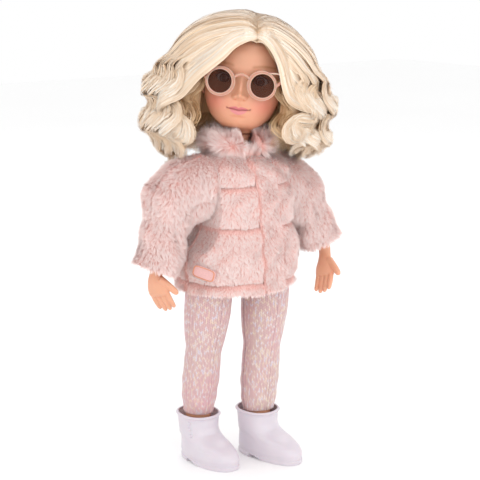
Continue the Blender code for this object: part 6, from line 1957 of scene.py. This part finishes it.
def hair_plan(rng):
    """Every lock of the head: three layers from the parting, short flicked ends and the inner curls."""
    plan = []
    for side in (1, -1):
        first = FIRST_LOCK[side]
        for depth, count, offset, shade, strands in HAIR_LAYERS:
            for i in range(count):
                share = (i + offset) / count
                azimuth = first + (math.pi - first) * share + rng.normal(0, 0.02)
                end = -0.023 + 0.012 * (1 - depth) / 0.2 + rng.uniform(0, 0.014) * (i % 3 == 1)
                end += rng.normal(0, 0.003)
                end += HAIR_END_RISE[side] * smooth_step(math.radians(130), math.radians(85), azimuth)
                part = min(0.98, share**0.92)
                own_depth = depth + rng.normal(0, 0.012)
                plan.append(lock_form(side, azimuth, part, own_depth, end, shade, strands, rng))
        for i in range(2):
            azimuth = math.radians(80 + 14 * i)
            plan.append(lock_form(side, azimuth, 0.15 + 0.12 * i, 1.0, 0.0415, 0.66, 22, rng, 0.0055))
        # Inner curls close to the head, dark with painted shade
        for i in range(14):
            azimuth = math.radians(62 + 8.4 * i)
            end = -0.006 + rng.normal(0, 0.004)
            plan.append(lock_form(side, azimuth, 0.1 + 0.06 * i, 0.66, end, 0.16, 34, rng))
    return plan


def build_hair():
    """All the locks, in groups by side, and the locks beside the face, which fan out from a ringlet."""
    rng = np.random.default_rng(5)
    groups = {}

    def grow(key, line, bright, lock):
        groups.setdefault(key, []).append(lock_strands(line, bright, lock, rng))

    for lock in hair_plan(rng):
        ahead = abs(lock["azimuth"]) < math.radians(115)
        word = "left" if lock["side"] > 0 else "right"
        grow(("side_" if ahead else "back_") + word, *lock_line(lock), lock)
    for word, side in SIDES:
        ringlet, dull = face_lock_line(word)
        end = BESIDE_FACE_END[side]
        lock = lock_form(side, math.radians(62), 0.06, 1.0, end, 0.66, 74, rng)
        beside, waves = lock_line(lock)
        for i in range(7):
            t = i / 7
            lock = lock_form(side, 0, 0, 1, 0, 0.68, 80, rng)
            lock["wide"] *= 0.85
            grow("face_" + word, ringlet * (1 - t) + beside * t, dull * (1 - t) + waves * t, lock)
    for key, group in groups.items():
        left, right, tone = (np.concatenate([g[i] for g in group]) for i in range(3))
        mesh = strand_mesh("hair_locks_" + key, left, right, tone)
        place("hair_locks_" + key, mesh, HEAD_FRAME, "head", HAIR)
    build_under_hair()


def build_under_hair():
    """The wefts under the locks, close to the head."""
    z, angle = rows_by_columns(np.linspace(0.010, HAIR_TOP - 0.004, 120),
                               np.linspace(math.radians(64), math.radians(296), 160))
    head = head_reach(angle, np.clip(z, 0.0, HEAD_HEIGHT))
    share = 0.74 + 0.10 * smooth_step(0.045, 0.075, z)
    reach = np.maximum(hair_reach(angle, np.minimum(z + 0.003, HAIR_TOP)) * share, head + 0.001)
    inside = np.maximum(head + 0.0006, np.where(z < 0.052, HAIR_SIDE_CHANNEL, 0))
    inside = np.where(z > HEAD_HEIGHT, reach * 0.8, np.minimum(inside, reach - 0.0005))
    outer, inner = round_about(angle, reach, z), round_about(angle, inside, z)
    for points in (outer, inner):
        points[..., 1] += HEAD_CENTRE_Y
    mesh = new_mesh("hair_under_layer", *slab_form(outer, inner))
    place("hair_under_layer", mesh, HEAD_FRAME, "head", UNDER_HAIR,
          ["hair_crown", "hair_side_left", "hair_side_right", "hair_back_left", "hair_back_right"])


# Bare CAD pieces that stay: their looks


def dress_frame_pieces():
    for name in ("torso_front", "torso_back", "neck", "leg_left", "leg_right"):
        node = frame["nodes"][name]
        node.data.materials.clear()
        node.data.materials.append(SKIN_VINYL)


# Floor, light and camera

FLOOR_PALE = (0.975, 0.975, 0.975)
FLOOR_DEEP = (0.965, 0.965, 0.965)
LIGHT_AIM = Vector((0, 0, 0.2))
# Each soft light: its name, place, size and power
LIGHTS = (
    ("key", (-0.75, -1.1, 1.6), 2.0, 5.2), ("front", (-0.8, -1.15, 0.60), 0.9, 2.1),
    ("fill", (0.6, -1.4, 0.40), 1.5, 5), ("side", (-1.6, 0.2, 0.7), 1.2, 1.5),
    ("rim", (0.9, 0.9, 1.2), 0.8, 3),
)
CAMERA_LENS = 109
CAMERA_AZIMUTH = math.radians(-37)
CAMERA_DISTANCE = 1.1
CAMERA_HEIGHT = 0.40
CAMERA_AIM = Vector((0.0014, AXIS_Y - 0.0010, 0.178))


def add_facing(name, data, spot, aim):
    """A light or camera at a place, looking at another."""
    item = bpy.data.objects.new(name, data)
    bpy.context.scene.collection.objects.link(item)
    item.location = spot
    item.rotation_mode = "QUATERNION"
    item.rotation_quaternion = (aim - Vector(spot)).to_track_quat("-Z", "Y")
    return item


def build_stage():
    look = Look("floor", (0.97, 0.97, 0.97), 0.8)
    look.colour(look.ramp(look.noise(3, 2), ((0.3, FLOOR_PALE), (0.8, FLOOR_DEEP))))
    bpy.ops.mesh.primitive_plane_add(size=6)
    floor = bpy.context.object
    floor.name = "floor"
    floor.data.materials.append(look.material)
    scene = bpy.context.scene
    scene.world = bpy.data.worlds.new("studio")
    scene.world.use_nodes = True
    background = scene.world.node_tree.nodes["Background"]
    background.inputs["Color"].default_value = (1, 1, 1, 1)
    background.inputs["Strength"].default_value = 1.0
    for name, spot, size, power in LIGHTS:
        light = bpy.data.lights.new(name, "AREA")
        light.size = size
        light.energy = power
        add_facing(name, light, spot, LIGHT_AIM)
    camera = bpy.data.cameras.new("camera")
    camera.lens = CAMERA_LENS
    camera.sensor_width = 36
    spot = (CAMERA_DISTANCE * math.sin(CAMERA_AZIMUTH), AXIS_Y - CAMERA_DISTANCE * math.cos(CAMERA_AZIMUTH),
            CAMERA_HEIGHT)
    scene.camera = add_facing("camera", camera, spot, CAMERA_AIM)
    scene.view_settings.view_transform = "Standard"


build_head()
build_eyes()
build_sunglasses()
build_neck()
for word, side in SIDES:
    build_arm(word, side)
    build_boot(word, side)
build_leggings()
build_coat()
build_placket()
build_collar()
build_patch()
build_sleeves()
build_hair()
dress_frame_pieces()
build_stage()
